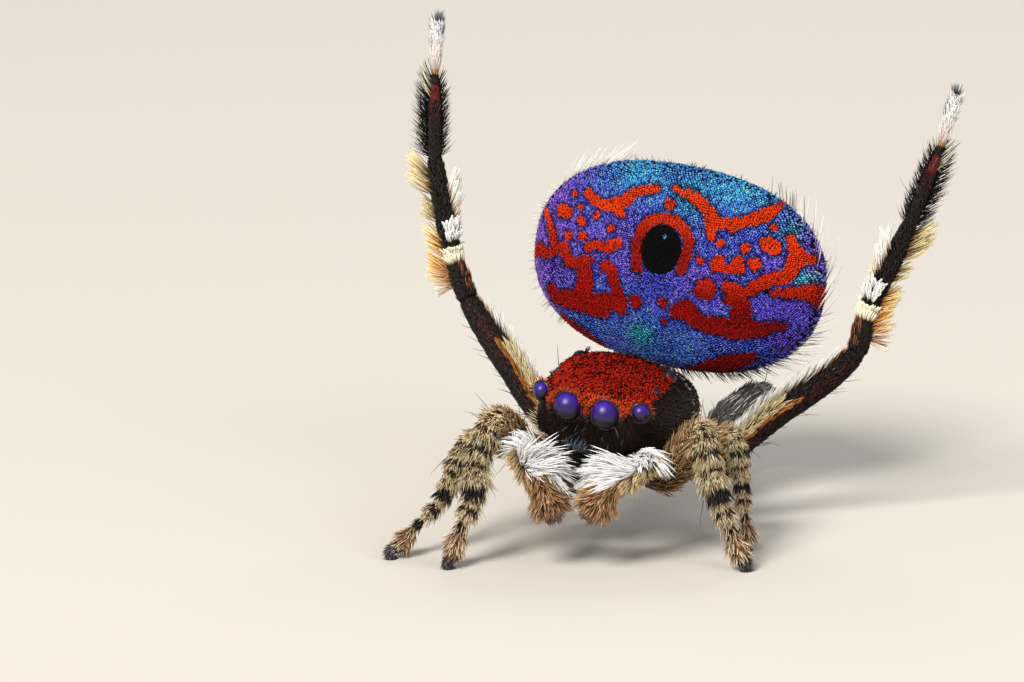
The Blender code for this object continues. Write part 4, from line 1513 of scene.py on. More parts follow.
def back_marks(x: Array, z: Array) -> tuple[Array, Array]:
    """Which marking each place of the back belongs to, and its dark outline.

    Args:
        x: Across the back, in millimetres.
        z: Towards its raised tip, in millimetres.

    Returns:
        The value of a Mark, and how much light the outline leaves.
    """
    gap = np.full(np.shape(x), 1e9)
    for stroke in (*RED_STROKES, *((dot,) for dot in RED_DOTS)):
        gap = np.minimum(gap, stroke_gap(x, z, stroke))
    rag = 0.009 + 0.012 * ripple(x, z, 0.1, 3) + 0.005 * ripple(x, z, 0.045, 4)
    light = 1.0 - 0.85 * np.exp(-(((gap - rag - 0.014) / 0.022) ** 2))
    marks = np.where(gap < rag, Mark.RED.value, Mark.BLUE.value)
    spot = np.hypot((x - SPOT[0]) / SPOT[2], (z - SPOT[1]) / SPOT[3])
    marks = np.where(spot < 1.0 + rag * 2.5, Mark.BLACK.value, marks)
    # The painted highlight: a small light blue dot on the black eye spot.
    painted_highlight = np.hypot(x - SPOT_PAINTED_HIGHLIGHT[0], z - SPOT_PAINTED_HIGHLIGHT[1]) < SPOT_PAINTED_HIGHLIGHT[2]
    light = np.where((marks == Mark.BLUE.value) & ~painted_highlight, light, 1.0)
    return np.where(painted_highlight, Mark.PAINTED_HIGHLIGHT.value, marks), light


def back_colours(x: Array, z: Array, marks: Array) -> Array:
    """The colour of each place of the back, linear.

    Args:
        x: Across the back, in millimetres.
        z: Towards its raised tip, in millimetres.
        marks: What each place is part of.

    Returns:
        One colour for each place.
    """
    low = 1.0 - ramp(z, -0.75, -0.35)
    colours = blend("#4E62FF", "#3E64FF", 0.9 * low)
    # The violet towards the side rims is a painted sheen, the shift of the scales' colour where
    # the dome turns away; the patch and middle terms are the back's own violet.
    edge = ramp(np.abs(x + 0.05), 0.85, 1.45)
    edge = edge * np.where(x > 0.0, 0.6 + 0.3 * ramp(z, -0.3, 0.3), 1.0)
    patch = np.exp(-(((x + 0.75) / 0.45) ** 2) - (((z - 0.15) / 0.4) ** 2))
    middle = np.exp(-(((x - 0.45) / 0.5) ** 2) - (((z + 0.05) / 0.3) ** 2))
    violet = np.clip(edge + 0.75 * patch + 0.6 * middle + 0.22 * ripple(x, z, 0.5, 6), 0.0, 1.0)
    colours = blend(colours, "#8450F0", violet)
    top = ramp(z, 0.42, 0.9) * (1.0 - ramp(np.abs(x - 0.15), 0.75, 1.3))
    cyan = np.clip(top * (0.85 + 0.35 * ripple(x, z, 0.45, 7)), 0.0, 1.0)
    colours = blend(colours, "#3A90F0", cyan)
    shadow = np.exp(-(((x + 0.08) / 0.3) ** 2) - (((z + 0.16) / 0.16) ** 2))
    colours = blend(colours, "#2A1F86", 0.7 * shadow)
    # Patches of tint. The two dark ones at the right, beside the bulge and in the pit that
    # relief() makes, are painted shade of these dents.
    for cx, cz, size, colour, amount in (
        (-0.19, -0.71, 0.15, "#1FA58E", 0.9), (1.18, 0.6, 0.13, "#1E9C9A", 0.8),
        (0.1, 0.74, 0.2, "#1B8C9C", 0.8), (1.37, 0.15, 0.085, "#39D0F5", 1.0),
        (-0.48, 0.9, 0.16, "#35B8F0", 0.6), (0.55, 0.92, 0.16, "#45BCEB", 0.6),
        (0.3, -0.78, 0.14, "#3A90F0", 0.4), (1.5, 0.19, 0.05, "#7AD8F2", 0.6),
        (1.37, 0.03, 0.045, "#1A1560", 0.9), (1.06, -0.02, 0.05, "#120C3A", 1.0),
    ):
        near = np.exp(-((x - cx) ** 2 + (z - cz) ** 2) / size**2)
        colours = blend(colours, colour, amount * near)
    red = blend("#AE1109", "#FF4206", ramp(z, -0.35, 0.5))
    red = blend(red, "#980C0C", 1.0 - ramp(z, -0.95, -0.6))
    ring = 1.0 - ramp(np.hypot((x - SPOT[0]) / SPOT[2], (z - SPOT[1]) / SPOT[3]), 1.55, 1.85)
    red = blend(red, "#8E0E10", ring * (0.8 - 0.45 * ramp(z, 0.3, 0.5)))
    right = ramp(x, 0.1, 0.5) * (1.0 - ramp(z, -0.35, 0.0))
    red = blend(red, "#7E0C0A", 0.6 * right)
    colours = np.where((marks == Mark.RED.value)[:, None], red, colours)
    colours = np.where((marks == Mark.BLACK.value)[:, None], linear("#020103"), colours)
    # The painted highlight on the black spot is light blue.
    return np.where((marks == Mark.PAINTED_HIGHLIGHT.value)[:, None], linear("#4FA6FF"), colours)


def rim_share(x: Array, z: Array) -> Array:
    """0 in the middle of the back and 1 at its rim."""
    power = 2.0 / ABDOMEN_SQUARE
    total = np.abs(x / ABDOMEN_HALF_WIDTH) ** power + np.abs(z / ABDOMEN_HALF_HEIGHT) ** power
    return total ** (1.0 / power)


@dataclass
class Back(Surface):
    """The domed back of the abdomen, seen as a flat sheet by (u, v)."""

    depth: float = 0.016
    reach: float = 0.955
    cells: tuple[int, int] = (220, 150)

    def __post_init__(self) -> None:
        """Makes the table from the rim share to the depth of the dome."""
        rows = np.array([row for row in ABDOMEN_ROWS if row[0] <= 0.05])
        curve = Profile(np.column_stack((rows[:, 1], rows[:, 0])))
        self.shares = np.linspace(0.0, 1.0, 600)
        self.depths = curve.at(self.shares)

    def sheet(self, u: Array, v: Array) -> tuple[Array, Array]:
        """Across and up the back, in millimetres."""
        return (
            (2.0 * np.asarray(u) - 1.0) * ABDOMEN_HALF_WIDTH,
            (2.0 * np.asarray(v) - 1.0) * ABDOMEN_HALF_HEIGHT,
        )

    def relief(self, x: Array, z: Array) -> Array:
        """The fold of the right flap and the small dents and bulges."""
        fold = -1.24 - 0.14 * ramp(z, 0.0, 0.35)
        crease = 0.04 * np.exp(-(((x - fold) / 0.035) ** 2))
        crease = crease * (1.0 - ramp(np.abs(z + 0.05), 0.2, 0.5))
        bulge = -0.02 * np.exp(-((x - 1.37) ** 2 + (z - 0.15) ** 2) / 0.09**2)
        pit = 0.035 * np.exp(-((x - 1.06) ** 2 + (z + 0.02) ** 2) / 0.05**2)
        return crease + bulge + pit

    def point(self, u: Array, v: Array) -> Array:
        """Places on the skin of the back."""
        x, z = self.sheet(u, v)
        y = np.interp(np.minimum(rim_share(x, z), 1.0), self.shares, self.depths)
        y = y + self.depth + self.relief(x, z)
        return ABDOMEN.place(np.column_stack((x, y, z)))

    def direction(self, u: Array, v: Array) -> Array:
        """Scales lie towards the raised tip, in slow waves."""
        x, z = self.sheet(u, v)
        turn = 0.35 * ripple(x, z, 0.9, 8) + 0.4 * x / ABDOMEN_HALF_WIDTH
        return ABDOMEN.turn(np.column_stack((np.sin(turn), np.zeros_like(x), np.cos(turn))))

    def rows(self, across: float, along: float, seed: int) -> Roots:
        """Roots in wavy rows, each row set off by half a step.

        Args:
            across: The step along a row, in millimetres.
            along: The step from row to row.
            seed: Picks the waves and the small shifts.

        Returns:
            The roots.
        """
        count_x = int(2.0 * ABDOMEN_HALF_WIDTH / across)
        count_z = int(2.0 * ABDOMEN_HALF_HEIGHT / along)
        i, j = np.meshgrid(np.arange(count_x), np.arange(count_z), indexing="ij")
        i, j = i.ravel(), j.ravel()
        draw = np.random.default_rng(seed)
        x = (i + 0.5 * (j % 2)) * across - ABDOMEN_HALF_WIDTH
        z = j * along - ABDOMEN_HALF_HEIGHT
        x, z = (
            x + 0.02 * ripple(x, z, 0.8, seed + 1) + draw.normal(0.0, 0.1 * across, len(x)),
            z + 0.032 * ripple(x, z, 0.6, seed + 2) + draw.normal(0.0, 0.1 * along, len(x)),
        )
        keep = rim_share(x, z) < self.reach
        x, z = x[keep], z[keep]
        return self.roots(
            0.5 * (x / ABDOMEN_HALF_WIDTH + 1.0), 0.5 * (z / ABDOMEN_HALF_HEIGHT + 1.0)
        )

    def scales(self) -> dict[str, list[Strands]]:
        """The flat scales of the back, parted by their finish."""
        wide = self.rows(0.0265, 0.0175, 51)
        fine = self.rows(0.0175, 0.018, 54)
        return {
            "blue": scales_at(wide, *self.sheet(wide.u, wide.v), 52)["blue"],
            "matt": scales_at(fine, *self.sheet(fine.u, fine.v), 56)["matt"],
        }


# The scales of the back are flat: broad blue plates, and narrower red and
# black ones that stand a little steeper.
BLUE_SCALE = HairShape(0.0275, 0.0275, 22.0, 0.1, 0.14, 12.0, 0.1, FAN, 0.8)
RED_SCALE = HairShape(0.031, 0.0175, 26.0, 0.4, 0.18, 14.0, 0.22, FAN)
BLACK_SCALE = HairShape(0.033, 0.02, 30.0, 0.3, 0.1, 10.0, 0.16, FAN)


def scales_at(roots: Roots, x: Array, z: Array, seed: int) -> dict[str, list[Strands]]:
    """Grows the scales of the back from their roots.

    Args:
        roots: Where they grow.
        x: Across the back, in millimetres.
        z: Towards its raised tip, in millimetres.
        seed: Picks the spread of their light.

    Returns:
        The blue ones and the matt ones.
    """
    marks, line = back_marks(x, z + 0.6 * RED_SCALE.length)
    colours = back_colours(x, z, marks) * line[:, None]
    draw = np.random.default_rng(seed)
    # Each scale's brightness is drawn at random: partly the scales' own spread of tone, partly
    # painted glints on the brightest ones.
    light = np.clip(draw.normal(1.3, 0.55, len(x)), 0.28, 3.0)[:, None]
    light = light * (1.0 + 0.25 * ripple(x, z, 0.12, 13))[:, None]
    # Painted light: the lower part of the back, turned away from the key light, is made up to a
    # quarter brighter to make up for its shade.
    low = 0.25 * (1.0 - ramp(z, -0.75, -0.45)) * (1.0 - ramp(x, 0.7, 1.1))
    light = light * (1.0 + low)[:, None]
    # Darker towards the lower right.
    light = light * (1.0 - 0.35 * ramp(x, 0.8, 1.2) * (1.0 - ramp(z, -0.15, 0.1)))[:, None]
    # The painted highlight grows as blue scales.
    blue = (marks == Mark.BLUE.value) | (marks == Mark.PAINTED_HIGHLIGHT.value)
    black = marks == Mark.BLACK.value
    red = marks == Mark.RED.value
    # Scales brighter than 1.1 get a painted pale blue glint added to their colour.
    painted_glint = np.array((0.05, 0.08, 0.16)) * (light - 1.1).clip(0.0)
    shimmer = np.clip(colours * light + painted_glint, 0.0, 1.0)
    matt = np.clip(colours * (0.7 + 0.3 * light), 0.0, 1.0)
    matt = matt * np.where(draw.uniform(0.0, 1.0, len(x)) < 0.1, 0.35, 1.0)[:, None]
    # Painted shade: each blue scale is near black at its root, where the scale before it covers
    # it, and turns to its full colour at the tip.
    tints = (shimmer[blue] * (0.03, 0.03, 0.07), shimmer[blue])
    return {
        "blue": [grow(roots.pick(blue), BLUE_SCALE, tints, seed + 1)],
        "matt": [
            # The red scales are darkened at the root as painted shade too.
            grow(roots.pick(red), RED_SCALE, (matt[red] * 0.22, matt[red]), seed + 2),
            grow(roots.pick(black), BLACK_SCALE, (colours[black], colours[black]), seed + 3),
        ],
    }


@dataclass
class Round(Surface):
    """The whole abdomen as rings round its axis, from crown to underside."""

    depth: float = 0.016
    cells: tuple[int, int] = (160, 120)
    facing: float = -1.0

    def __post_init__(self) -> None:
        """Spaces the rows evenly by the length of the skin between them."""
        rows = np.array(ABDOMEN_ROWS)
        steps = np.hypot(np.diff(rows[:, 0]), np.diff(rows[:, 1]) * ABDOMEN_HALF_WIDTH)
        runs = np.concatenate(([0.0], np.cumsum(steps)))
        self.runs = runs / runs[-1]
        self.rows = Profile(np.column_stack((self.runs, rows)))
        self.rim = float(self.runs[7])
        self.back = Back(self.depth)

    def local(self, u: Array, v: Array) -> Array:
        """Places on the skin in the abdomen's own frame."""
        row = self.rows.at(np.clip(v, 0.0, 1.0))
        angle = np.asarray(u) * math.tau
        x = signed_power(np.cos(angle), ABDOMEN_SQUARE) * row[:, 1]
        z = signed_power(np.sin(angle), ABDOMEN_SQUARE) * row[:, 2]
        x = x * (ABDOMEN_HALF_WIDTH - self.depth)
        z = z * (ABDOMEN_HALF_HEIGHT - self.depth)
        front = 1.0 - ramp(v, self.rim - 0.05, self.rim + 0.05)
        y = row[:, 0] + self.depth * (2.0 * front - 1.0)
        y = y + self.back.relief(x, z) * front
        return np.column_stack((x, y, z))

    def point(self, u: Array, v: Array) -> Array:
        """Places on the skin."""
        return ABDOMEN.place(self.local(u, v))

    def direction(self, u: Array, v: Array) -> Array:
        """Hairs lie outwards and towards the raised tip."""
        angle = np.asarray(u) * math.tau
        ahead = np.full_like(angle, 0.25)
        way = np.column_stack((0.7 * np.cos(angle), ahead, 0.35 + np.sin(angle)))
        way = way / np.maximum(np.linalg.norm(way, axis=1, keepdims=True), 0.2)
        return ABDOMEN.turn(way + np.array((0.0, 0.0, 0.05)))

    def tint(self, u: Array, v: Array) -> Array:
        """The skin's colour: the markings, darkened between the scales."""
        x, _, z = self.local(u, v).T
        marks = back_marks(x, z)[0]
        back = back_colours(x, z, marks) * np.where(marks == Mark.RED.value, 0.25, 0.03)[:, None]
        under = linear("#6A5644")
        return blend(back, under, ramp(v, self.rim, self.rim + 0.05))

    def shell(self, patch: Quad, material: int) -> Shell:
        """The abdomen's share of the skin."""
        sides = 108
        u = np.arange(sides) / sides
        stations = np.concatenate(
            (np.linspace(0.02, self.rim, 40), np.linspace(self.rim, 0.98, 30)[1:])
        )
        rings = [self.point(u, np.full(sides, v)) for v in stations]
        tints = [self.tint(u, np.full(sides, v)) for v in stations]
        ends = (
            ABDOMEN.place((0.0, -0.447 + self.depth, 0.0)),
            ABDOMEN.place((0.0, 0.985 - self.depth, 0.0)),
        )
        return Shell(rings, tints, ends, patch, material)

    def rim_scales(self, count: int) -> dict[str, list[Strands]]:
        """The scales that go round the rim, where the back turns under."""
        edge = self.rim + 0.045

        def weight(u: Array, v: Array) -> Array:
            """Open from the edge of the flat sheet to just behind the rim."""
            x, _, z = self.local(u, v).T
            return ((rim_share(x, z) > Back.reach - 0.012) & (v < edge)).astype(float)

        roots = self.plant(count, 61, weight)
        spot = self.local(roots.u, roots.v)
        return scales_at(roots, spot[:, 0], spot[:, 2], 62)

    def underside(self) -> list[Strands]:
        """The short grey-cream coat of the hidden side."""
        start = self.rim + 0.04
        roots = self.plant(7000, 71, lambda u, v: (v > start).astype(float))
        draw = np.random.default_rng(72)
        count = len(roots)
        x, _, z = self.local(roots.u, roots.v).T
        cloud = 0.5 + 0.6 * ripple(x, z, 0.35, 9) + draw.normal(0.0, 0.25, count)
        tip = blend("#9A846C", "#E8DEC8", np.clip(cloud, 0.0, 1.0))
        shape = HairShape(0.115, 0.014, 20.0, 0.6, 0.25, 14.0, 0.4)
        return [grow(roots, shape, (tip * 0.65, tip), 73, (0.15, 7))]

    def fringe(self) -> list[Strands]:
        """The long bristles that stand out round the rim, as in the photo."""
        groups = []
        for seed, first, last, count, length, width, lift, root, tip, along in (
            (81, -50.0, -12.0, 26, 0.3, 0.01, 12.0, "#8A847A", "#FFFDF8", 0.9),
            (82, -12.0, 40.0, 34, 0.34, 0.01, 13.0, "#8A847A", "#FFFFFB", 1.25),
            (83, 40.0, 62.0, 14, 0.2, 0.009, 20.0, "#2A2420", "#8A8076", 1.0),
            (85, 66.0, 112.0, 14, 0.06, 0.008, 20.0, "#2A2622", "#5A5048", 0.4),
            (87, 118.0, 150.0, 34, 0.27, 0.01, 9.0, "#8A847A", "#FFFFFB", -1.3),
            (89, 150.0, 232.0, 110, 0.08, 0.008, 24.0, "#A69E98", "#F0EAE6", 0.3),
            (91, 262.0, 306.0, 190, 0.12, 0.0085, 18.0, "#0D0908", "#2E2722", 0.75),
            (93, 300.0, 334.0, 34, 0.22, 0.0095, 14.0, "#6A6258", "#E4DED4", 0.8),
        ):
            draw = np.random.default_rng(seed)
            u = (draw.uniform(first, last, count) / 360.0) % 1.0
            v = draw.uniform(self.rim - 0.035, self.rim + 0.045, count)
            roots = self.roots(u, v)
            turn = u * math.tau + along
            out = np.column_stack((np.cos(turn), np.full(count, 0.1), np.sin(turn)))
            roots.lay = unit(ABDOMEN.turn(out))
            light = draw.uniform(0.7, 1.2, (count, 1))
            shape = HairShape(length, width, lift, 0.6, 0.3, 12.0, 0.6, LONG, 0.4)
            groups.append(grow(
                roots, shape, (linear(root) * light, linear(tip) * light), seed + 1, (0.15, 4)
            ))
        return groups


# The legs and the palps.


# Half widths of each part of a limb, from the body to the tip: at its start,
# in its middle and at its end.
STANDING_WIDTHS = (
    (0.15, 0.15, 0.14), (0.14, 0.185, 0.16), (0.15, 0.165, 0.14),
    (0.14, 0.155, 0.125), (0.11, 0.1, 0.085), (0.075, 0.07, 0.065),
)
SLIM_WIDTHS = tuple(tuple(w * 0.8 for w in row) for row in STANDING_WIDTHS)
RAISED_WIDTHS = (
    (0.14, 0.15, 0.13), (0.13, 0.155, 0.13), (0.12, 0.125, 0.115),
    (0.11, 0.115, 0.1), (0.085, 0.088, 0.072), (0.045, 0.052, 0.036),
)
PALP_WIDTHS = ((0.09, 0.1, 0.1), (0.1, 0.115, 0.105), (0.11, 0.15, 0.1))

STANDING_PARTS = ("femur", "patella_tibia", "metatarsus_tarsus")
RAISED_PARTS = ("femur", "patella", "tibia", "metatarsus", "tarsus")


def coxa(
    sign: float, y: float, reach: float = 0.7, drop: float = -0.74
) -> tuple[Triple, Triple]:
    """Where a leg leaves the front body: a point inside and one outside."""
    inner = HEAD.place((0.2 * sign, y * 0.8, -0.6))
    outer = HEAD.place((reach * sign, y, drop))
    return tuple(inner), tuple(outer)


# The coat of the standing legs: its pale, middle and dark tints, its rings as
# (joint, half width, share of the hairs, tint), where an empty tint means the
# pale one, and the joints at which its tiers of hair end.
BANDED_TINTS = ("#FFEBBE", "#BE9058", "#1E120C")
GREY_TINTS = ("#B9B4AD", "#6E6760", "#1C1816")
PALE_BAND = ""
LEG_BANDS = (
    (2.44, 0.04, 0.6, "#2A1510"), (2.82, 0.08, 0.6, PALE_BAND), (2.98, 0.06, 1.0, "#100C0D"),
    (3.14, 0.07, 0.6, PALE_BAND), (3.3, 0.05, 0.65, "#2A1812"), (3.68, 0.1, 0.6, PALE_BAND),
    (3.92, 0.12, 1.0, "#0D0B0D"), (4.2, 0.1, 0.8, PALE_BAND), (4.43, 0.13, 1.0, "#2A120F"),
    (4.69, 0.11, 0.75, PALE_BAND), (4.95, 0.14, 1.0, "#0F0C0D"), (5.95, 0.3, 0.97, "#3E4246"),
)
LEG_TIERS = (0.9, 2.0, 2.92, 3.8, 4.38, 4.86, 5.6, 6.0)


# The display coat of the raised legs: short black hairs all over, with amber,
# cream and white brushes, from the body to the tip.
OUTER_SIDE = (-40.0, 44.0)
FINE = HairShape(0.08, 0.0135, 20.0, 0.6, 0.25, 12.0, 0.45, SHORT)
RAISED_COAT = (
    Growth(420, (0.3, 1.1), AROUND,
           HairShape(0.13, 0.012, 24.0, 0.5), "#3A2C20", "#C9B996", (0.3, 6)),
    # Femur.
    Growth(1500, (1.0, 1.62), (-105.0, 100.0), FINE, BLACK, "#180F0C", (0.25, 6)),
    Growth(1700, (1.55, 2.02), AROUND, FINE, BLACK, "#180F0C", (0.25, 6)),
    Growth(240, (1.1, 1.95), (58.0, 118.0),
           replace(FINE, length=0.09), "#1C0805", "#4E180C", (0.3, 6)),
    Growth(110, (1.1, 1.9), (236.0, 290.0),
           replace(FINE, length=0.09), "#1C0805", "#4E180C", (0.3, 6)),
    Growth(150, (1.02, 1.62), (98.0, 120.0),
           HairShape(0.12, 0.0105, 25.0, 0.55, 0.25, 12.0, 0.45, LONG, 0.95),
           "#2A1007", "#C07A34", (0.5, 6), 0.4),
    Growth(640, (1.0, 1.56), (112.0, 252.0),
           HairShape(0.15, 0.011, 30.0, 0.5, 0.25, 12.0, 0.45, LONG, 0.8),
           "#4E3A20", "#E6D4A4", (0.5, 6), 0.3),
    Growth(300, (1.0, 1.86), (158.0, 216.0),
           HairShape(0.215, 0.0105, 33.0, 0.4, 0.3, 11.0, 0.5, LONG, 0.7),
           "#5E5A54", "#F2F0EA", (0.55, 5)),
    Growth(60, (1.6, 2.02), (150.0, 230.0),
           HairShape(0.12, 0.011, 30.0, 0.5), "#4A2410", "#B98A56", (0.4, 4)),
    Growth(40, (1.1, 2.0), (-110.0, 110.0),
           HairShape(0.19, 0.008, 42.0, 0.4, 0.3, 12.0, 0.7, BRISTLE), BLACK, "#2A201C"),
    # Patella.
    Growth(1450, (2.0, 3.02), AROUND, replace(FINE, length=0.072), BLACK, "#1A110E", (0.25, 6)),
    Growth(46, (2.1, 2.85), (110.0, 205.0),
           HairShape(0.1, 0.0115, 24.0, 0.5), "#3A160A", "#A8683A", (0.4, 4)),
    Growth(24, (2.34, 2.5), (-32.0, 34.0),
           HairShape(0.215, 0.02, 92.0, 0.16, 0.14, 7.0, 0.4, BRUSH, 0.9),
           "#C9802A", "#FFF8E2", (0.3, 3), 0.12),
    Growth(38, (2.48, 2.72), (-36.0, 38.0),
           HairShape(0.25, 0.0205, 78.0, 0.2, 0.14, 7.0, 0.4, BRUSH, 1.0),
           "#E08A18", "#FFEFC0", (0.3, 3), 0.12),
    Growth(40, (2.7, 2.94), (-36.0, 38.0),
           HairShape(0.25, 0.0205, 60.0, 0.24, 0.14, 7.0, 0.4, BRUSH, 1.0),
           "#EC941A", "#FFE09A", (0.3, 3), 0.12),
    Growth(230, (2.8, 3.04), (14.0, 236.0),
           HairShape(0.11, 0.0215, 34.0, 0.4, 0.28, 12.0, 0.4, BRUSH, 0.6),
           "#6A5428", "#FFF9E0", (0.2, 4), 0.1),
    # Tibia.
    Growth(1900, (3.0, 4.0), AROUND,
           replace(FINE, length=0.086, lift=24.0), BLACK, "#191210", (0.3, 6)),
    Growth(64, (3.04, 3.22), OUTER_SIDE,
           HairShape(0.225, 0.022, 54.0, 0.24, 0.14, 9.0, 0.4, BRUSH, 1.0),
           "#F8A418", "#FFF0BC", (0.2, 4), 0.12),
    Growth(96, (3.12, 3.32), (80.0, 196.0),
           HairShape(0.125, 0.0225, 42.0, 0.4, 0.25, 12.0, 0.4, BRUSH, 0.6),
           "#7A6A50", "#FFFFFB", (0.25, 4), 0.06),
    Growth(26, (3.3, 3.46), (150.0, 215.0),
           HairShape(0.15, 0.017, 46.0, 0.3, 0.2, 12.0, 0.4, BRUSH, 0.7),
           "#8A5A24", "#FBEFD2", (0.3, 4), 0.08),
    Growth(76, (3.42, 3.72), (140.0, 214.0),
           HairShape(0.24, 0.02, 42.0, 0.22, 0.16, 9.0, 0.4, BRUSH, 0.5),
           "#C8924A", "#FFFDF4", (0.4, 5), 0.08),
    Growth(38, (3.36, 3.56), OUTER_SIDE,
           HairShape(0.185, 0.019, 56.0, 0.28, 0.2, 10.0, 0.4, BRUSH, 0.8),
           "#5A3A18", "#EBD9A2", (0.25, 4), 0.12),
    Growth(88, (3.64, 3.92), OUTER_SIDE,
           HairShape(0.3, 0.021, 53.0, 0.26, 0.14, 8.0, 0.4, BRUSH, 0.9),
           "#7A5018", "#FFEEBA", (0.4, 5), 0.12),
    # Metatarsus.
    Growth(900, (4.0, 4.44), AROUND, FINE, BLACK, "#1A1210", (0.3, 6)),
    Growth(110, (4.38, 4.66), (0.0, 180.0), FINE, BLACK, "#1E1210", (0.3, 6)),
    Growth(560, (4.42, 4.98), (172.0, 368.0), FINE, BLACK, "#1A1210", (0.3, 6)),
    Growth(150, (4.88, 5.0), AROUND, replace(FINE, length=0.055), BLACK, "#1A1210"),
    Growth(300, (4.44, 4.93), (4.0, 176.0),
           HairShape(0.06, 0.0095, 14.0, 0.6, 0.2, 10.0, 0.4, SHORT),
           "#2A0A09", "#76201C", (0.2, 5), 0.4),
    Growth(330, (4.02, 4.96), (-78.0, 24.0),
           HairShape(0.225, 0.012, 52.0, 0.3, 0.25, 14.0, 0.5, BRISTLE),
           BLACK, "#1C1512", (0.3, 4)),
    Growth(240, (4.02, 4.96), (154.0, 250.0),
           HairShape(0.15, 0.0115, 50.0, 0.3, 0.25, 14.0, 0.5, BRISTLE),
           BLACK, "#1C1512", (0.2, 4)),
    Growth(18, (4.74, 4.98), (-30.0, 34.0),
           HairShape(0.235, 0.0135, 40.0, 0.35, 0.2, 9.0, 0.5, LONG, 0.5),
           "#A8946A", "#FBF4DC", (0.2, 4)),
    Growth(12, (4.0, 5.1), AROUND, HairShape(0.26, 0.006, 58.0, 0.4, 0.3, 14.0, 0.8, BRISTLE),
           "#2A221E", "#8A8078"),
    # Tarsus.
    Growth(180, (5.0, 5.2), AROUND, HairShape(0.08, 0.011, 20.0, 0.5), "#5A3A1C", "#C49A66"),
    Growth(330, (5.05, 5.5), AROUND,
           HairShape(0.165, 0.0135, 24.0, 0.7, 0.25, 11.0, 0.45, LONG, 0.7),
           "#A08C82", "#F2E8E2", (0.4, 5), 0.1),
    Growth(620, (5.28, 5.82), (-60.0, 230.0),
           HairShape(0.15, 0.015, 26.0, 0.75, 0.22, 9.0, 0.45, LONG, 0.5),
           "#B8B4AE", "#FCFBF8", (0.35, 6), 0.08),
    Growth(200, (5.5, 5.98), (170.0, 310.0),
           HairShape(0.135, 0.011, 34.0, 0.4, 0.25, 14.0, 0.5, SHORT),
           "#2E3234", "#8C9496", (0.3, 5)),
    Growth(110, (5.5, 5.94), AROUND, HairShape(0.105, 0.0085, 48.0, 0.3, 0.25, 18.0, 0.5, LONG),
           "#3A3E40", "#7E8688", (0.2, 4)),
)


# A claw: its place as a share of the leg, and its length, the depth of its
# hook and its half width in millimetres.
CLAW_START = 0.985
CLAW_LENGTH = 0.062
CLAW_HOOK = 0.026
CLAW_HALF = 0.0075


class LegKind(Enum):
    """How a leg is held and coated."""

    BANDED = "banded_leg_coat"
    GREY = "grey_leg_coat"
    RAISED = "raised_leg_coat"


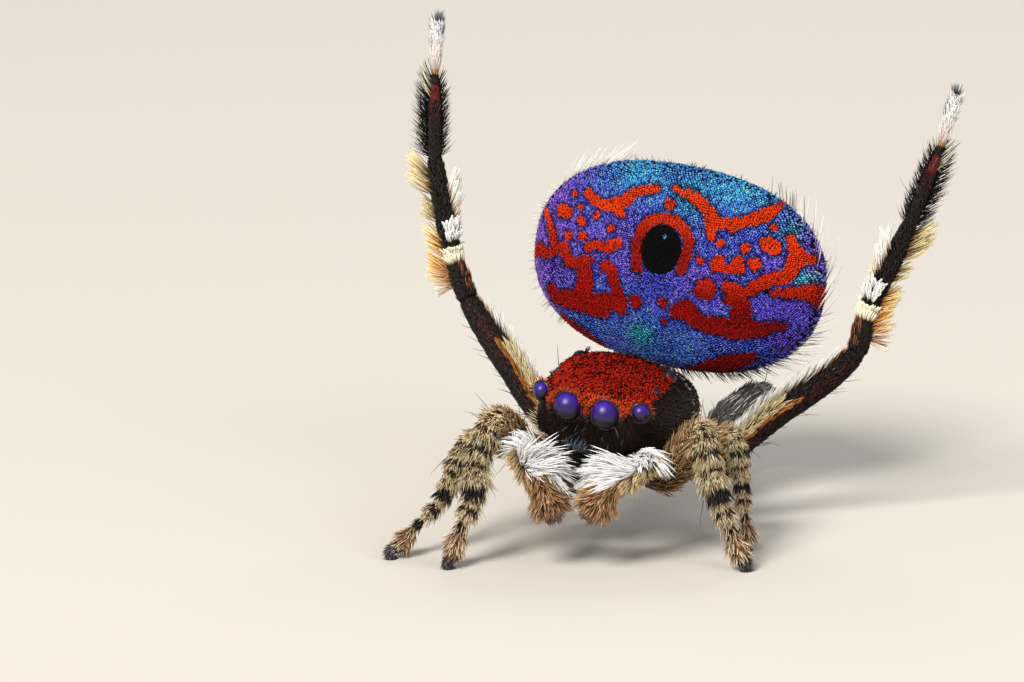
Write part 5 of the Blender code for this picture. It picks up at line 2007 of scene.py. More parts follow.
@dataclass
class Leg:
    """One leg: its joints below the coxa, its widths and its coat."""

    name: str
    kind: LegKind
    start: tuple[float, ...]
    joints: tuple[Triple, ...]
    widths: tuple[Triple, ...]
    seed: int

    def __post_init__(self) -> None:
        """Makes the limb."""
        self.sign = -1.0 if self.name.endswith("right") else 1.0
        standing = self.kind is not LegKind.RAISED
        self.limb = Limb(
            name=self.name,
            joints=(*coxa(self.sign, *self.start), *self.joints),
            widths=self.widths,
            outer=(self.sign, 0.29 * self.sign, 0.0),
            foot=standing,
            depth=0.045 if standing else 0.03,
        )
        self.parts = STANDING_PARTS if standing else RAISED_PARTS

    def nodes(self) -> list[str]:
        """The solids that the leg stands for."""
        return [f"{self.name}_{part}" for part in self.parts]

    def tint(self, joint: Array, degrees: Array) -> Array:
        """The colour of the skin under the coat.

        Args:
            joint: The place in joints from the body.
            degrees: The place round the limb.

        Returns:
            One linear colour for each place.
        """
        if self.kind is LegKind.RAISED:
            colour = linear("#160E0C")
            maroon = ramp(joint, 4.4, 4.62) * (1.0 - ramp(joint, 4.94, 5.0))
            colour = blend(colour, "#5E1D16", maroon)
            inner = np.exp(-((((degrees - 125.0 + 180.0) % 360.0 - 180.0) / 40.0) ** 2))
            femur = ramp(joint, 1.0, 1.1) * (1.0 - ramp(joint, 2.9, 3.0))
            colour = blend(colour, "#3A160C", inner * femur * 0.6)
            amber = ramp(joint, 4.99, 5.02) * (1.0 - ramp(joint, 5.1, 5.2))
            colour = blend(colour, "#B5803E", amber)
            return blend(colour, "#8C7F70", ramp(joint, 5.15, 5.3))
        base = "#3A2A1E" if self.kind is LegKind.BANDED else "#4A423B"
        colour = linear(base)
        ring = sum(np.exp(-(((joint - k) / 0.1) ** 2)) for k in (3.0, 4.0, 5.0))
        colour = blend(colour, "#120D0B", np.clip(ring, 0.0, 1.0))
        return blend(colour, "#1C1917", ramp(joint, 5.35, 5.6))

    def banded(self, roots: Roots, reach: float, seed: int) -> tuple[Array, Array]:
        """The colours of the banded coat at some roots.

        Args:
            roots: Where the hairs grow.
            reach: How far down the leg their tips show, in millimetres.
            seed: Picks the dark hairs among the pale ones.

        Returns:
            The colours at the root and at the tip of each hair.
        """
        draw = np.random.default_rng(seed)
        count = len(roots)
        joint = self.limb.joint_of(np.minimum(roots.u + reach / self.limb.length, 1.0))
        cloud = ripple(joint * 0.6, roots.v * 1.4, 0.2, seed + 1)
        pick = np.clip(draw.normal(0.55, 0.26, count) + 0.22 * cloud, 0.0, 1.0)
        pale, mid, dark = BANDED_TINTS if self.kind is LegKind.BANDED else GREY_TINTS
        tip = blend(mid, pale, ramp(pick, 0.32, 0.62))
        tip = blend(tip, "#C08A5C", 0.55 * ramp(joint, 5.0, 5.3))
        tip = blend(tip, dark, (pick < 0.25).astype(float))
        # Each hair is near black at its root, painted shade deep in the coat; the hairs of a dark
        # ring take the ring's colour at the root as well.
        root = np.tile(linear(dark) * 0.5, (count, 1))
        for middle, half, strength, code in LEG_BANDS:
            near = 1.0 - ramp(np.abs(joint - middle), half * 0.8, half * 1.15)
            chosen = (draw.uniform(0.0, 1.0, count) < near * strength).astype(float)
            tip = blend(tip, linear(code or pale), chosen)
            if code:
                root = blend(root, code, chosen)
        light = draw.uniform(0.75, 1.25, (count, 1))
        return root * light, tip * light

    def tier(self, u: Array) -> Array:
        """The place within a tier of the coat, from 0 at its start to 1."""
        joint = self.limb.joint_of(u)
        place = np.searchsorted(LEG_TIERS, joint, side="right").clip(1, len(LEG_TIERS) - 1)
        low, high = np.array(LEG_TIERS)[place - 1], np.array(LEG_TIERS)[place]
        return np.clip((joint - low) / (high - low), 0.0, 1.0)

    def coat(self) -> list[Strands]:
        """All the hairs of the leg."""
        if self.kind is LegKind.RAISED:
            return dress_limb(self.limb, RAISED_COAT, self.seed)
        return self._standing_coat()

    def _standing_coat(self) -> list[Strands]:
        """The dense hairs of a standing leg, in tiers that end above the rings."""
        limb, seed = self.limb, self.seed
        size = self.widths[1][1] / 0.185
        grey = self.kind is LegKind.GREY

        def below(u: Array, v: Array) -> Array:
            """Everywhere below the coxa, and thinner on the femur."""
            joint = limb.joint_of(u)
            return (joint > 0.9) * (0.35 + 0.65 * ramp(joint, 1.7, 2.1))

        def ends(u: Array, v: Array) -> Array:
            """The lower end of each tier."""
            joint = limb.joint_of(u)
            return (joint > 2.2) * (joint < 5.2) * ramp(self.tier(u), 0.45, 0.85)

        groups = []
        for number, (count, where, length, width, lift, clump) in enumerate((
            (int(5400 * size), below, 0.1, 0.014, 30.0, (0.3, 5)),
            (int(900 * size), ends, 0.155, 0.0125, 44.0, (0.45, 5)),
        )):
            roots = limb.plant(count, seed + number, where)
            tints = self.banded(roots, 0.75 * length * size, seed + 20 + number)
            sizes = 0.72 + 0.42 * self.tier(roots.u) ** 2
            joint = limb.joint_of(roots.u)
            sizes = sizes * (1.0 - 0.22 * ramp(joint, 3.9, 4.2) + 0.34 * ramp(joint, 4.7, 5.1))
            shape = HairShape(length * size, width, lift, 0.4, 0.25, 16.0, 0.4, SHORT, 0.85)
            groups.append(grow(roots, shape, tints, seed + number, clump, (0.0, 0.0, 0.0), sizes))
        growths = (
            Growth(1100, (0.9, 1.9), AROUND,
                   HairShape(0.18 * size, 0.0125, 24.0, 0.4, 0.3, 14.0, 0.45, LONG, 0.9),
                   "#140E0B", "#6C6864" if grey else "#B8905E", (0.45, 6), 0.4),
            Growth(110, (1.0, 2.02), AROUND,
                   HairShape(0.22 * size, 0.011, 27.0, 0.4, 0.3, 12.0, 0.45, LONG, 0.7),
                   "#4A4846" if grey else "#5A4028", "#E2E2E0" if grey else "#E6CC9C", (0.5, 5)),
            Growth(130, (2.3, 4.7), (150.0, 250.0),
                   HairShape(0.165 * size, 0.01, 42.0, 0.35, 0.3, 16.0, 0.5),
                   "#5A4430", "#B4AEA6" if grey else "#E3CFA0", (0.3, 4)),
            Growth(90, (4.05, 5.55), AROUND,
                   HairShape(0.125 * size, 0.0095, 50.0, 0.35, 0.3, 16.0, 0.5),
                   "#5A3420", "#D0CAC4" if grey else "#F0D2AC", (0.25, 4)),
            Growth(190, (5.0, 5.5), AROUND,
                   HairShape(0.145, 0.0125, 54.0, 0.4, 0.3, 14.0, 0.45, SHORT, 0.8),
                   "#2A140C", "#7A7470" if grey else "#A07250", (0.35, 4), 0.3),
            Growth(100, (4.98, 5.45), AROUND,
                   HairShape(0.165, 0.011, 52.0, 0.4, 0.3, 14.0, 0.45, LONG, 0.8),
                   "#6A4630", "#D0CAC4" if grey else "#F4DCB4", (0.45, 4), 0.2),
            Growth(300, (5.46, 6.0), AROUND,
                   HairShape(0.092, 0.0115, 40.0, 0.5, 0.25, 22.0, 0.5, SHORT),
                   "#16181A", "#4A4648", (0.3, 4), 0.6),
            Growth(130, (5.36, 5.97), AROUND,
                   HairShape(0.085, 0.01, 40.0, 0.5, 0.25, 22.0, 0.5, SHORT),
                   "#5A5E62", "#A8A8AA"),
            Growth(12, (1.3, 5.2), AROUND,
                   HairShape(0.34, 0.008, 62.0, 0.35, 0.3, 14.0, 0.8, BRISTLE),
                   "#15100E", "#3A2C22"),
        )
        return groups + dress_limb(limb, growths, seed + 40)

    def claws(self, bm: bmesh.types.BMesh) -> None:
        """Adds the two small curved claws at the tip."""
        limb = self.limb
        way, out, front = (axis[0] for axis in limb.axes(np.array([CLAW_START])))
        base = limb.line.at(limb.length * CLAW_START)
        for sign in (-1.0, 1.0):
            rows = []
            for share in (0.0, 0.35, 0.7, 1.0):
                reach = CLAW_LENGTH * share
                bend = CLAW_HOOK * share * share
                spot = base + way * reach + out * (0.012 * sign) + front * bend
                if limb.foot:
                    spot = base + front * (0.045 + reach * 0.6) + out * (0.016 * sign)
                    spot = spot + way * (0.012 + bend) - way * 0.03
                    spot[2] = max(spot[2], 0.01)
                rows.append((spot, CLAW_HALF * (1.0 - 0.85 * share)))
            edges = None
            for spot, half in rows:
                if edges is None:
                    made = bmesh.ops.create_circle(bm, cap_ends=True, segments=8, radius=half * MM)
                    verts = made["verts"]
                    place = seat(spot, unit(rows[1][0] - rows[0][0]))
                    bmesh.ops.transform(bm, matrix=place, verts=verts)
                    edges = list({e for v in verts for e in v.link_edges})
                    before = spot
                    continue
                grown = bmesh.ops.extrude_edge_only(bm, edges=edges)["geom"]
                fresh = fresh_verts(grown)
                edges = fresh_edges(grown, fresh)
                bmesh.ops.translate(bm, vec=Vector((spot - before) * MM), verts=fresh)
                centre = sum((vert.co for vert in fresh), Vector()) / len(fresh)
                size = (half * MM) / max((fresh[0].co - centre).length, 1e-9)
                for vert in fresh:
                    vert.co = centre + (vert.co - centre) * size
                before = spot
            bmesh.ops.contextual_create(bm, geom=edges)


# The eight legs, with the far end of each part below the coxa.
LEGS = (
    Leg("leg1_right", LegKind.BANDED, (-0.52,),
        ((-0.98, -1.02, 1.42), (-1.1, -1.25, 1.08), (-1.12, -1.38, 0.66),
         (-1.26, -1.45, 0.35), (-1.35, -1.55, 0.0)), STANDING_WIDTHS, 1000),
    Leg("leg1_left", LegKind.BANDED, (-0.52,),
        ((1.18, -1.0, 1.37), (1.24, -1.12, 1.07), (1.37, -1.2, 0.67),
         (1.49, -1.22, 0.32), (1.62, -1.26, 0.0)), STANDING_WIDTHS, 1100),
    Leg("leg2_right", LegKind.BANDED, (-0.16,),
        ((-1.41, -0.5, 1.03), (-1.49, -0.75, 0.8), (-1.57, -0.95, 0.51),
         (-1.82, -1.12, 0.28), (-2.02, -1.28, 0.0)), SLIM_WIDTHS, 1200),
    Leg("leg2_left", LegKind.BANDED, (-0.16,),
        ((1.32, -0.35, 1.16), (1.38, -0.45, 0.9), (1.41, -0.5, 0.58),
         (1.45, -0.55, 0.28), (1.44, -0.55, 0.0)), SLIM_WIDTHS, 1300),
    Leg("leg3_right", LegKind.RAISED, (0.24, 0.76, -0.76),
        ((-1.79, 1.1, 2.02), (-1.95, 1.12, 2.49), (-2.09, 1.12, 3.49),
         (-2.04, 1.1, 4.36), (-1.98, 1.05, 4.97)), RAISED_WIDTHS, 1400),
    Leg("leg3_left", LegKind.RAISED, (0.24, 0.8, -0.86),
        ((2.35, 0.62, 1.72), (2.46, 0.65, 2.17), (2.93, 0.65, 3.07),
         (3.27, 0.62, 3.87), (3.48, 0.6, 4.46)), RAISED_WIDTHS, 1500),
    Leg("leg4_right", LegKind.GREY, (0.62, 0.62),
        ((-0.95, 1.36, 1.18), (-1.0, 1.68, 1.04), (-1.0, 2.02, 0.62),
         (-0.98, 2.15, 0.28), (-0.96, 2.24, 0.0)), SLIM_WIDTHS, 1600),
    Leg("leg4_left", LegKind.GREY, (0.62, 0.62),
        ((1.1, 1.42, 1.1), (1.13, 1.75, 0.96), (0.95, 2.08, 0.58),
         (0.78, 2.1, 0.26), (0.64, 1.98, 0.0)), SLIM_WIDTHS, 1700),
)


# The coat of a palp: cream hairs under the arm, then the tan coat of the end.
PALP_COAT = (
    Growth(420, (0.1, 1.0), AROUND,
           HairShape(0.17, 0.012, 26.0, 0.5), "#5A4028", "#CDB286", (0.3, 6)),
    Growth(700, (0.8, 1.66), (66.0, 294.0),
           HairShape(0.185, 0.0125, 46.0, 0.3, 0.3, 18.0, 0.45, LONG, 0.9),
           "#3A2210", "#EFD6A6", (0.5, 6), 0.3),
    Growth(1050, (1.52, 2.66), AROUND,
           HairShape(0.155, 0.0125, 58.0, 0.46, 0.2, 8.0, 0.5, SHORT, 1.0),
           "#1C0C06", "#BC8052", (0.4, 5), 0.3),
    Growth(520, (1.52, 2.62), AROUND,
           HairShape(0.18, 0.012, 58.0, 0.44, 0.2, 8.0, 0.5, SHORT, 1.0),
           "#3A1C0C", "#F2CB98", (0.6, 4), 0.2),
    Growth(110, (1.56, 1.86), AROUND,
           HairShape(0.16, 0.0135, 46.0, 0.45, 0.2, 12.0, 0.45, LONG, 0.8),
           "#6A4020", "#F6DDB0", (0.45, 5)),
    Growth(130, (2.62, 2.96), AROUND,
           HairShape(0.08, 0.012, 46.0, 0.4), "#2A1A12", "#8C827A", (0.3, 5)),
)


@dataclass(frozen=True)
class Tuft:
    """White hairs on a palp's arm.

    span is in joints from the body, and lay the way in which the hairs lean
    at both ends of the span, in the spider's frame.
    """

    count: int
    span: tuple[float, float]
    lay: tuple[Triple, Triple]
    length: float
    lift: float
    drop: float


@dataclass
class Palp:
    """One palp: a white brush over its arm and a tan egg-shaped end."""

    name: str
    root: Triple
    joints: tuple[Triple, ...]
    tufts: tuple[Tuft, ...]
    seed: int

    def __post_init__(self) -> None:
        """Makes the limb."""
        start = HEAD.place(np.array(self.root))
        self.limb = Limb(
            name=self.name,
            joints=(tuple(start), *self.joints),
            widths=PALP_WIDTHS,
            outer=(0.0, -0.45, 1.0),
            foot=False,
            depth=0.035,
            waist=0.05,
            flex=1.5,
        )

    def nodes(self) -> list[str]:
        """The solids that the palp stands for."""
        return [f"{self.name}_{part}" for part in ("femur", "tibia", "cymbium")]

    def tint(self, joint: Array, degrees: Array) -> Array:
        """The colour of the skin under the coat."""
        return blend("#5A4532", "#6B4526", ramp(joint, 1.9, 2.1))

    def brush_hairs(self) -> list[Strands]:
        """The long white hairs, which fan out and curl over."""
        limb = self.limb
        groups = []
        for number, tuft in enumerate(self.tufts):

            def top(u: Array, v: Array) -> Array:
                """The upper and front side of the arm."""
                joint = limb.joint_of(u)
                turn = (v * 360.0 + 180.0) % 360.0 - 180.0
                low, high = tuft.span
                inside = (joint > low) & (joint < high) & (np.abs(turn - 5.0) < 74.0)
                return inside.astype(float)

            seed = self.seed + 7 * number
            roots = limb.plant(tuft.count, seed, top)
            share = ramp(limb.joint_of(roots.u), *tuft.span)
            fan = blend(*np.array(tuft.lay), share)
            upright = np.sum(fan * roots.normal, axis=1, keepdims=True)
            roots.lay = unit(fan - roots.normal * upright)
            light = np.random.default_rng(seed + 1).uniform(0.9, 1.05, (tuft.count, 1))
            shape = HairShape(tuft.length, 0.0185, tuft.lift, 0.5, 0.25, 16.0, 0.45, LONG, 0.4)
            tints = (linear("#BDBEBF") * light, linear("#FFFFFF") * light)
            groups.append(grow(roots, shape, tints, seed + 2, (0.3, 6), (0.0, -0.01, -tuft.drop)))
        return groups

    def tan_hairs(self) -> list[Strands]:
        """The cream hairs under the arm and the tan coat of the end."""
        return dress_limb(self.limb, PALP_COAT, self.seed + 50)


# Both palps, with the far end of each part and their white tufts.
PALPS = (
    Palp("palp_right", (-0.31, -0.6, -0.6),
         ((-0.66, -1.14, 1.12), (-0.42, -1.36, 0.88), (-0.26, -1.4, 0.46)),
         (Tuft(120, (0.74, 1.14), ((-1.0, -0.1, 0.25), (-0.8, -0.2, 0.75)), 0.27, 30.0, 0.05),
          Tuft(220, (1.02, 1.72), ((0.3, -0.3, 0.45), (1.0, -0.25, 0.35)), 0.25, 27.0, 0.01),
          Tuft(200, (1.18, 1.76), ((1.0, -0.15, 0.6), (1.0, -0.1, 0.3)), 0.41, 30.0, 0.03)),
         2000),
    Palp("palp_left", (0.31, -0.6, -0.6),
         ((0.62, -1.14, 1.05), (0.3, -1.36, 0.88), (0.03, -1.42, 0.5)),
         (Tuft(80, (0.72, 1.0), ((1.0, -0.1, 0.25), (0.8, -0.25, 0.6)), 0.33, 24.0, 0.16),
          Tuft(170, (0.92, 1.45), ((0.35, -0.4, 0.45), (-0.55, -0.4, 0.4)), 0.23, 28.0, 0.06),
          Tuft(230, (1.2, 1.74), ((-0.9, -0.35, 0.3), (-1.0, -0.35, 0.15)), 0.25, 28.0, 0.01),
          Tuft(200, (1.3, 1.78), ((-1.0, -0.15, 0.32), (-1.0, -0.1, 0.12)), 0.4, 29.0, 0.03)),
         2100),
)


# How far beyond its last ring a tube closes, in millimetres.
TUBE_END = 0.004


def tube(
    points: Sequence[tuple[Array, float]], sides: int, count: int, colour: Array,
    patch: Quad, material: int, tip: Array | None = None,
) -> Shell:
    """A smooth round tube through a few places and half widths.

    Args:
        points: The places and the half widths.
        sides: How many points each ring has.
        count: How many rings there are.
        colour: The skin's colour.
        patch: Its place on the unwrap.
        material: The number of its material on the skin.
        tip: Where the far end closes, or None to close it in its last ring.

    Returns:
        The loft.
    """
    places = np.array([spot for spot, _ in points])
    steps = np.linalg.norm(np.diff(places, axis=0), axis=1)
    runs = np.concatenate(([0.0], np.cumsum(steps)))
    line = Profile(np.column_stack((runs, places)), limited=False)
    girth = Profile([(run, half) for run, (_, half) in zip(runs, points)])
    spots = np.linspace(0.0, runs[-1], count)
    middles, halves = line.at(spots), girth.at(spots)
    ways = unit(np.gradient(middles, axis=0))
    side = unit(np.cross(ways[0], np.array((0.3, 0.9, 0.2))))
    rings = []
    angle = np.arange(sides) * math.tau / sides
    for middle, half, way in zip(middles, halves, ways):
        side = unit(side - way * side.dot(way))
        other = np.cross(way, side)
        rings.append(middle + half * (
            np.cos(angle)[:, None] * side + np.sin(angle)[:, None] * other
        ))
    last = middles[-1] + ways[-1] * TUBE_END if tip is None else tip
    first = middles[0] - ways[0] * TUBE_END
    return Shell(rings, plain_tints(rings, colour), (first, last), patch, material)


@dataclass
class Jaws:
    """The two chelicerae under the face, and their fangs."""

    brown: str = "#2C1A13"

    def shells(self, patches: Sequence[Quad], material: int) -> list[Shell]:
        """The chelicerae's share of the skin."""
        made = []
        for sign, patch in zip((-1.0, 1.0), patches):
            points = [
                (HEAD.place((x * sign, y, z)), half)
                for x, y, z, half in (
                    (0.165, -0.7, -0.26, 0.128), (0.165, -0.78, -0.46, 0.143),
                    (0.16, -0.8, -0.64, 0.132), (0.15, -0.8, -0.755, 0.1),
                )
            ]
            made.append(tube(points, 24, 16, linear(self.brown), patch, material))
        return made

    def fang(self, name: str, sign: float) -> bpy.types.Object:
        """One curved fang, turned inwards."""
        points = [
            (HEAD.place((x * sign, y, z)), half)
            for x, y, z, half in (
                (0.17, -0.8, -0.785, 0.042), (0.15, -0.81, -0.835, 0.034),
                (0.12, -0.81, -0.865, 0.025), (0.08, -0.8, -0.88, 0.014),
            )
        ]
        tip = HEAD.place((0.045 * sign, -0.795, -0.874))
        return tube(points, 14, 14, linear("#3A1710"), (0.0, 0.0, 1.0, 1.0), 0, tip).build(name)


def pedicel_shell(patch: Quad, material: int) -> Shell:
    """The thin waist between the two halves of the body."""
    start = HEAD.place((0.0, 0.9, -0.3))
    end = ABDOMEN.place((0.0, 0.4, -0.72))
    points = [(start, 0.095), (0.5 * (start + end), 0.08), (end, 0.095)]
    return tube(points, 20, 10, linear("#241611"), patch, material)


SPINNERETS = ((0.0, 0.5, 0.072), (0.07, 0.44, 0.052), (-0.07, 0.44, 0.052))


def spinneret_shells(patch: Quad, material: int) -> list[Shell]:
    """The small group of spinnerets at the raised tip."""
    u0, v0, du, dv = patch
    made = []
    for number, (x, y, half) in enumerate(SPINNERETS):
        start = ABDOMEN.place((x * 0.7, y, 0.7))
        end = ABDOMEN.place((x * 1.6, y + 0.02, 0.95))
        way = end - start
        points = [
            (start + way * share, half * girth)
            for share, girth in ((0.0, 1.0), (0.5, 0.95), (0.85, 0.7))
        ]
        place = (u0, v0 + dv * number / 3.0, du, dv / 3.5)
        made.append(tube(points, 16, 8, linear("#4A3C30"), place, material, end))
    return made


# The studio.


@dataclass
class Studio:
    """Pale floor, soft lights and the camera at the photo's angle."""

    azimuth: float = 16.0
    elevation: float = 15.0
    roll: float = 2.5
    lens: float = 400.0
    sensor: float = 36.0
    frame_width: float = 10.24
    aim: tuple[float, float] = (-1.03, 0.64)
    aim_height: float = 1.3

    def axes(self) -> tuple[Array, Array, Array]:
        """The camera's right, up and back, before its roll."""
        a, e = math.radians(self.azimuth), math.radians(self.elevation)
        back = np.array((math.sin(a) * math.cos(e), -math.cos(a) * math.cos(e), math.sin(e)))
        right = np.array((math.cos(a), math.sin(a), 0.0))
        return right, np.cross(back, right), back

    def camera(self) -> bpy.types.Object:
        """Makes the camera, a long lens with the photo's framing."""
        right, up, back = self.axes()
        a, e, r = (math.radians(v) for v in (self.azimuth, self.elevation, self.roll))
        u = self.aim[0] * math.cos(r) + self.aim[1] * math.sin(r)
        v = -self.aim[0] * math.sin(r) + self.aim[1] * math.cos(r)
        x = u / math.cos(a)
        z = (v + x * math.sin(a) * math.sin(e)) / math.cos(e) + self.aim_height
        target = (np.array((x, 0.0, z)) - MIDDLE) * MM
        tilted = right * math.cos(r) - up * math.sin(r)
        upright = np.cross(back, tilted)
        spot = target + back * self.frame_width * self.lens / self.sensor * MM
        data = bpy.data.cameras.new("camera")
        data.lens = self.lens
        data.sensor_width = self.sensor
        data.clip_start = 0.001
        data.clip_end = 10.0
        made = link("camera", data)
        rows = [(tilted[k], upright[k], back[k], spot[k]) for k in range(3)]
        made.matrix_world = Matrix((*rows, (0.0, 0.0, 0.0, 1.0)))
        bpy.context.scene.camera = made
        return made

    def light(
        self, name: str, azimuth: float, elevation: float, away: float, size: float,
        power: float, colour: str,
    ) -> None:
        """Adds a soft square light aimed at the spider.

        Args:
            name: The light's name.
            azimuth: Degrees round the spider, 0 in front of it.
            elevation: Degrees above the floor.
            away: Its distance in millimetres.
            size: Its side in millimetres.
            power: Its power in watts.
            colour: Its colour as hex digits.
        """
        a, e = math.radians(azimuth), math.radians(elevation)
        way = Vector((math.sin(a) * math.cos(e), -math.cos(a) * math.cos(e), math.sin(e)))
        data = bpy.data.lights.new(name, "AREA")
        data.shape = "DISK"
        data.size = size * MM
        data.energy = power
        data.color = shade(colour)[:3]
        made = link(name, data)
        made.location = way * away * MM + Vector((0.0, 0.0, 2.0 * MM))
        made.rotation_euler = way.to_track_quat("Z", "Y").to_euler()
        made.visible_glossy = name == "key"

    def build(self) -> None:
        """Makes the floor, the lights, the pale surround and the camera."""
        bm = bmesh.new()
        bmesh.ops.create_grid(bm, x_segments=1, y_segments=1, size=0.6)
        floor = link("floor", mesh_of(bm, "floor", smooth=False))
        floor.data.materials.append(Plaster("studio_plaster", "#CFCAC2").make())
        world = bpy.data.worlds.new("surround")
        world.use_nodes = True
        sky = world.node_tree.nodes["Background"]
        sky.inputs["Color"].default_value = shade("#E9E6E2")
        sky.inputs["Strength"].default_value = 0.42
        bpy.context.scene.world = world
        bpy.context.scene.view_settings.view_transform = "Standard"
        self.light("key", -22.0, 50.0, 120.0, 56.0, 0.17, "#FFFAF4")
        self.light("fill", 60.0, 28.0, 80.0, 50.0, 0.022, "#F2F5FF")
        self.light("back", 178.0, 42.0, 80.0, 40.0, 0.016, "#FFFFFF")
        self.camera()


# The whole spider.


# The skin: bare cuticle shines dully, and under scales and hairs it is dull,
# so that it stays dark between them.
FINISH_SKIN = (
    Cuticle("chitin_carapace", "#0E0807", "#22140F", 0.55, 0.02, 0.0025, 1.28),
    Tinted("chitin_under_scales", 0.75, grain=0.02, relief=0.003, ior=1.15),
    Tinted("chitin_under_hair", 0.45, grain=0.02, relief=0.003),
)
# Plain hair has a satin gloss that changes a little along the coat.
HAIR = Tinted("chitin_hair", 0.55, spread=0.12, grain=0.02, relief=0.0)
# The display hair reflects less, so it stays black in full light.
DARK_HAIR = Tinted("chitin_display_hair", 0.5, spread=0.1, grain=0.02, relief=0.0, ior=1.42)
# The face's hair reflects least of all, and leaves the face near black.
FACE_HAIR = Tinted("chitin_face_hair", 0.6, spread=0.1, grain=0.02, relief=0.0, ior=1.18)
# Thin layers in the blue scales give them a faint metal gloss.
BLUE_SCALES = Tinted(
    "chitin_structural_blue_scale", 0.36, 0.18, grain=0.015, spread=0.15, relief=0.0
)
# Pigment makes the red scales matt, like velvet.
RED_SCALES = Tinted(
    "chitin_pigment_red_scale", 0.6, grain=0.015, spread=0.12, relief=0.0, ior=1.25
)
# Air in the white hairs scatters all light, so they are evenly bright.
WHITE_HAIR = Tinted("chitin_white_hair", 0.5, spread=0.05, grain=0.02, relief=0.0)


def add_piece(
    name: str,
    mesh_or_object: bpy.types.Mesh | bpy.types.Object,
    material: bpy.types.Material | None = None,
    nodes: Sequence[str] = (),
) -> bpy.types.Object:
    """Links a finished piece, dresses it and lets it ride on the body.

    Args:
        name: The piece's name.
        mesh_or_object: The mesh, or an object that is linked already.
        material: Its material, unless it has one.
        nodes: The solids that it stands for.

    Returns:
        The piece.
    """
    made = mesh_or_object
    if isinstance(made, bpy.types.Mesh):
        made = link(name, made)
    if material is not None:
        made.data.materials.append(material)
    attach(made, BODY)
    if nodes:
        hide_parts(*nodes)
    LOG.info("%s: %d faces", name, len(made.data.polygons))
    return made


def add_coat(
    name: str, groups: Iterable[Strands], material: bpy.types.Material
) -> None:
    """Sows hairs or scales as one piece."""
    add_piece(name, sow_mesh(name, groups), material)


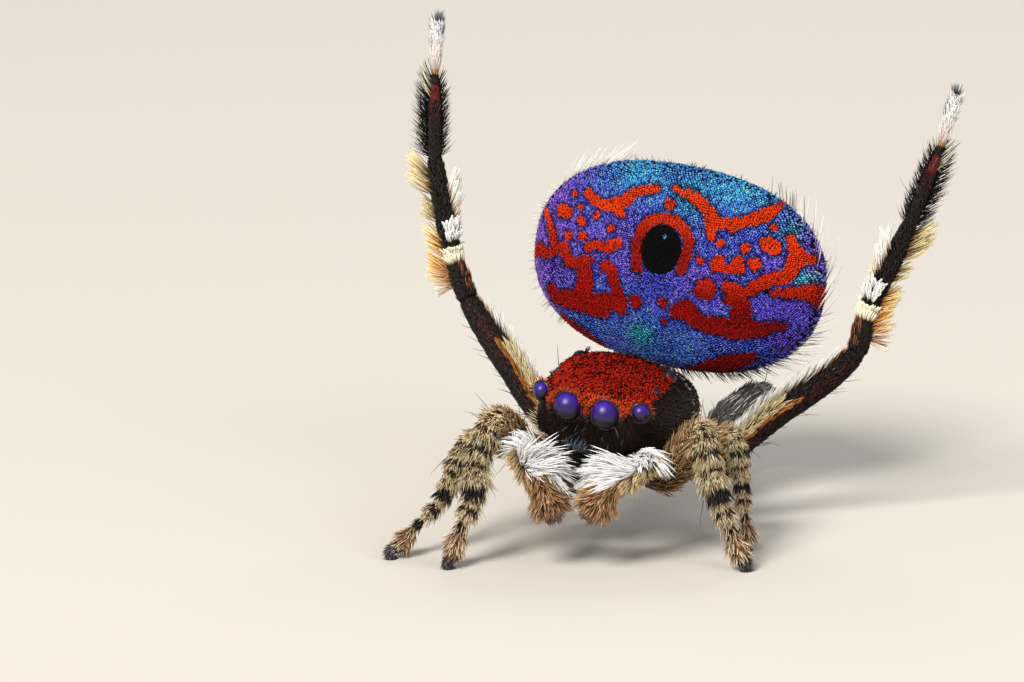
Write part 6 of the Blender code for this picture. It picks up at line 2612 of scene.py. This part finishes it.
@dataclass
class Spider:
    """The whole animal, from its skin to its claws."""

    carapace: Carapace = field(default_factory=Carapace)
    abdomen: Round = field(default_factory=Round)
    back: Back = field(default_factory=Back)
    jaws: Jaws = field(default_factory=Jaws)

    def build_skin(self) -> None:
        """Joins the whole skin and stands it for the solids of flesh."""
        shells = [self.carapace.shell((0.01, 0.5, 0.47, 0.48), 0)]
        shells.append(self.abdomen.shell((0.51, 0.5, 0.47, 0.48), 1))
        limbs = [*LEGS, *PALPS]
        for number, item in enumerate(limbs):
            patch = (0.01 + 0.49 * (number % 2), 0.01 + 0.075 * (number // 2), 0.47, 0.062)
            shells.append(item.limb.shell(patch, 2, item.tint))
        shells += self.jaws.shells(((0.01, 0.4, 0.2, 0.04), (0.25, 0.4, 0.2, 0.04)), 0)
        shells.append(pedicel_shell((0.51, 0.4, 0.2, 0.04), 0))
        shells += spinneret_shells((0.75, 0.4, 0.2, 0.06), 2)
        skin = Skin(shells).build([finish.make() for finish in FINISH_SKIN])
        nodes = ["cephalothorax", "abdomen", "pedicel", "spinnerets"]
        nodes += ["chelicera_left", "chelicera_right"]
        for item in limbs:
            nodes += item.nodes()
        add_piece("skin", skin, None, nodes)

    def build_eyes(self) -> None:
        """Adds the eight eyes, their rims and their orange hairs."""
        rims = bmesh.new()
        lashes = []
        for number, eye in enumerate(EYES):
            for side, sign in (("right", -1.0), ("left", 1.0)):
                name = f"{eye.kind}_{side}"
                ball = eye.ball(f"{name}_glass", sign)
                add_piece(name, ball, None, (name,))
                ring = bmesh.new()
                eye.rim(ring, sign)
                part = mesh_of(ring, "rim", smooth=False)
                rims.from_mesh(part)
                bpy.data.meshes.remove(part)
                hairs = eye.lashes(sign, 300 + number * 10 + int(sign > 0.0))
                if hairs is not None:
                    lashes.append(hairs)
        bmesh.ops.recalc_face_normals(rims, faces=rims.faces[:])
        rim_finish = Cuticle("chitin_eye_rim", "#120B0A", "#2A1A16", 0.35, 0.02, 0.002)
        add_piece("eye_rims", mesh_of(rims, "eye_rims"), rim_finish.make())
        add_coat("eye_fringe", lashes, HAIR.make())

    def build_head_coat(self) -> None:
        """Adds the red cap and the fine hairs of the front body."""
        add_coat("cap_scales", self.carapace.cap_scales(), RED_SCALES.make())
        add_coat("carapace_hairs", self.carapace.bare_hairs(), FACE_HAIR.make())

    def build_abdomen_coat(self) -> None:
        """Adds the scales of the back, the fringe and the hidden coat."""
        dome = self.back.scales()
        rim = self.abdomen.rim_scales(2600)
        for name, groups, finish in (
            ("back_blue_scales", dome["blue"] + rim["blue"], BLUE_SCALES),
            ("back_red_scales", dome["matt"] + rim["matt"], RED_SCALES),
            ("back_fringe", self.abdomen.fringe(), HAIR),
            ("abdomen_under_coat", self.abdomen.underside(), HAIR),
        ):
            add_coat(name, groups, finish.make())

    def build_limb_coats(self) -> None:
        """Adds the coats of the legs and palps, the claws and the fangs."""
        claws = bmesh.new()
        hair, dark = HAIR.make(), DARK_HAIR.make()
        for leg in LEGS:
            finish = dark if leg.kind is LegKind.RAISED else hair
            add_coat(f"{leg.name}_coat", leg.coat(), finish)
            leg.claws(claws)
        bmesh.ops.recalc_face_normals(claws, faces=claws.faces[:])
        dark_chitin = Cuticle("chitin_claw", "#120C0A", "#241812", 0.28, 0.02, 0.0005)
        add_piece("claws", mesh_of(claws, "claws"), dark_chitin.make())
        white = WHITE_HAIR.make()
        for palp in PALPS:
            add_coat(f"{palp.name}_brush", palp.brush_hairs(), white)
            add_coat(f"{palp.name}_coat", palp.tan_hairs(), hair)
        fang = Cuticle("chitin_fang", "#2A0F0A", "#5A2416", 0.22, 0.03, 0.0005).make()
        for side, sign in (("right", -1.0), ("left", 1.0)):
            made = self.jaws.fang(f"fang_{side}_horn", sign)
            made.data.shade_smooth()
            add_piece(f"fang_{side}", made, fang, (f"fang_{side}",))

    def build(self) -> None:
        """Builds every piece in order."""
        self.build_skin()
        self.build_eyes()
        self.build_head_coat()
        self.build_abdomen_coat()
        self.build_limb_coats()


def main() -> None:
    """Builds the spider and its studio."""
    logging.basicConfig(level=logging.INFO, format="%(name)s: %(message)s")
    Spider().build()
    Studio().build()


if __name__ == "__main__":
    main()
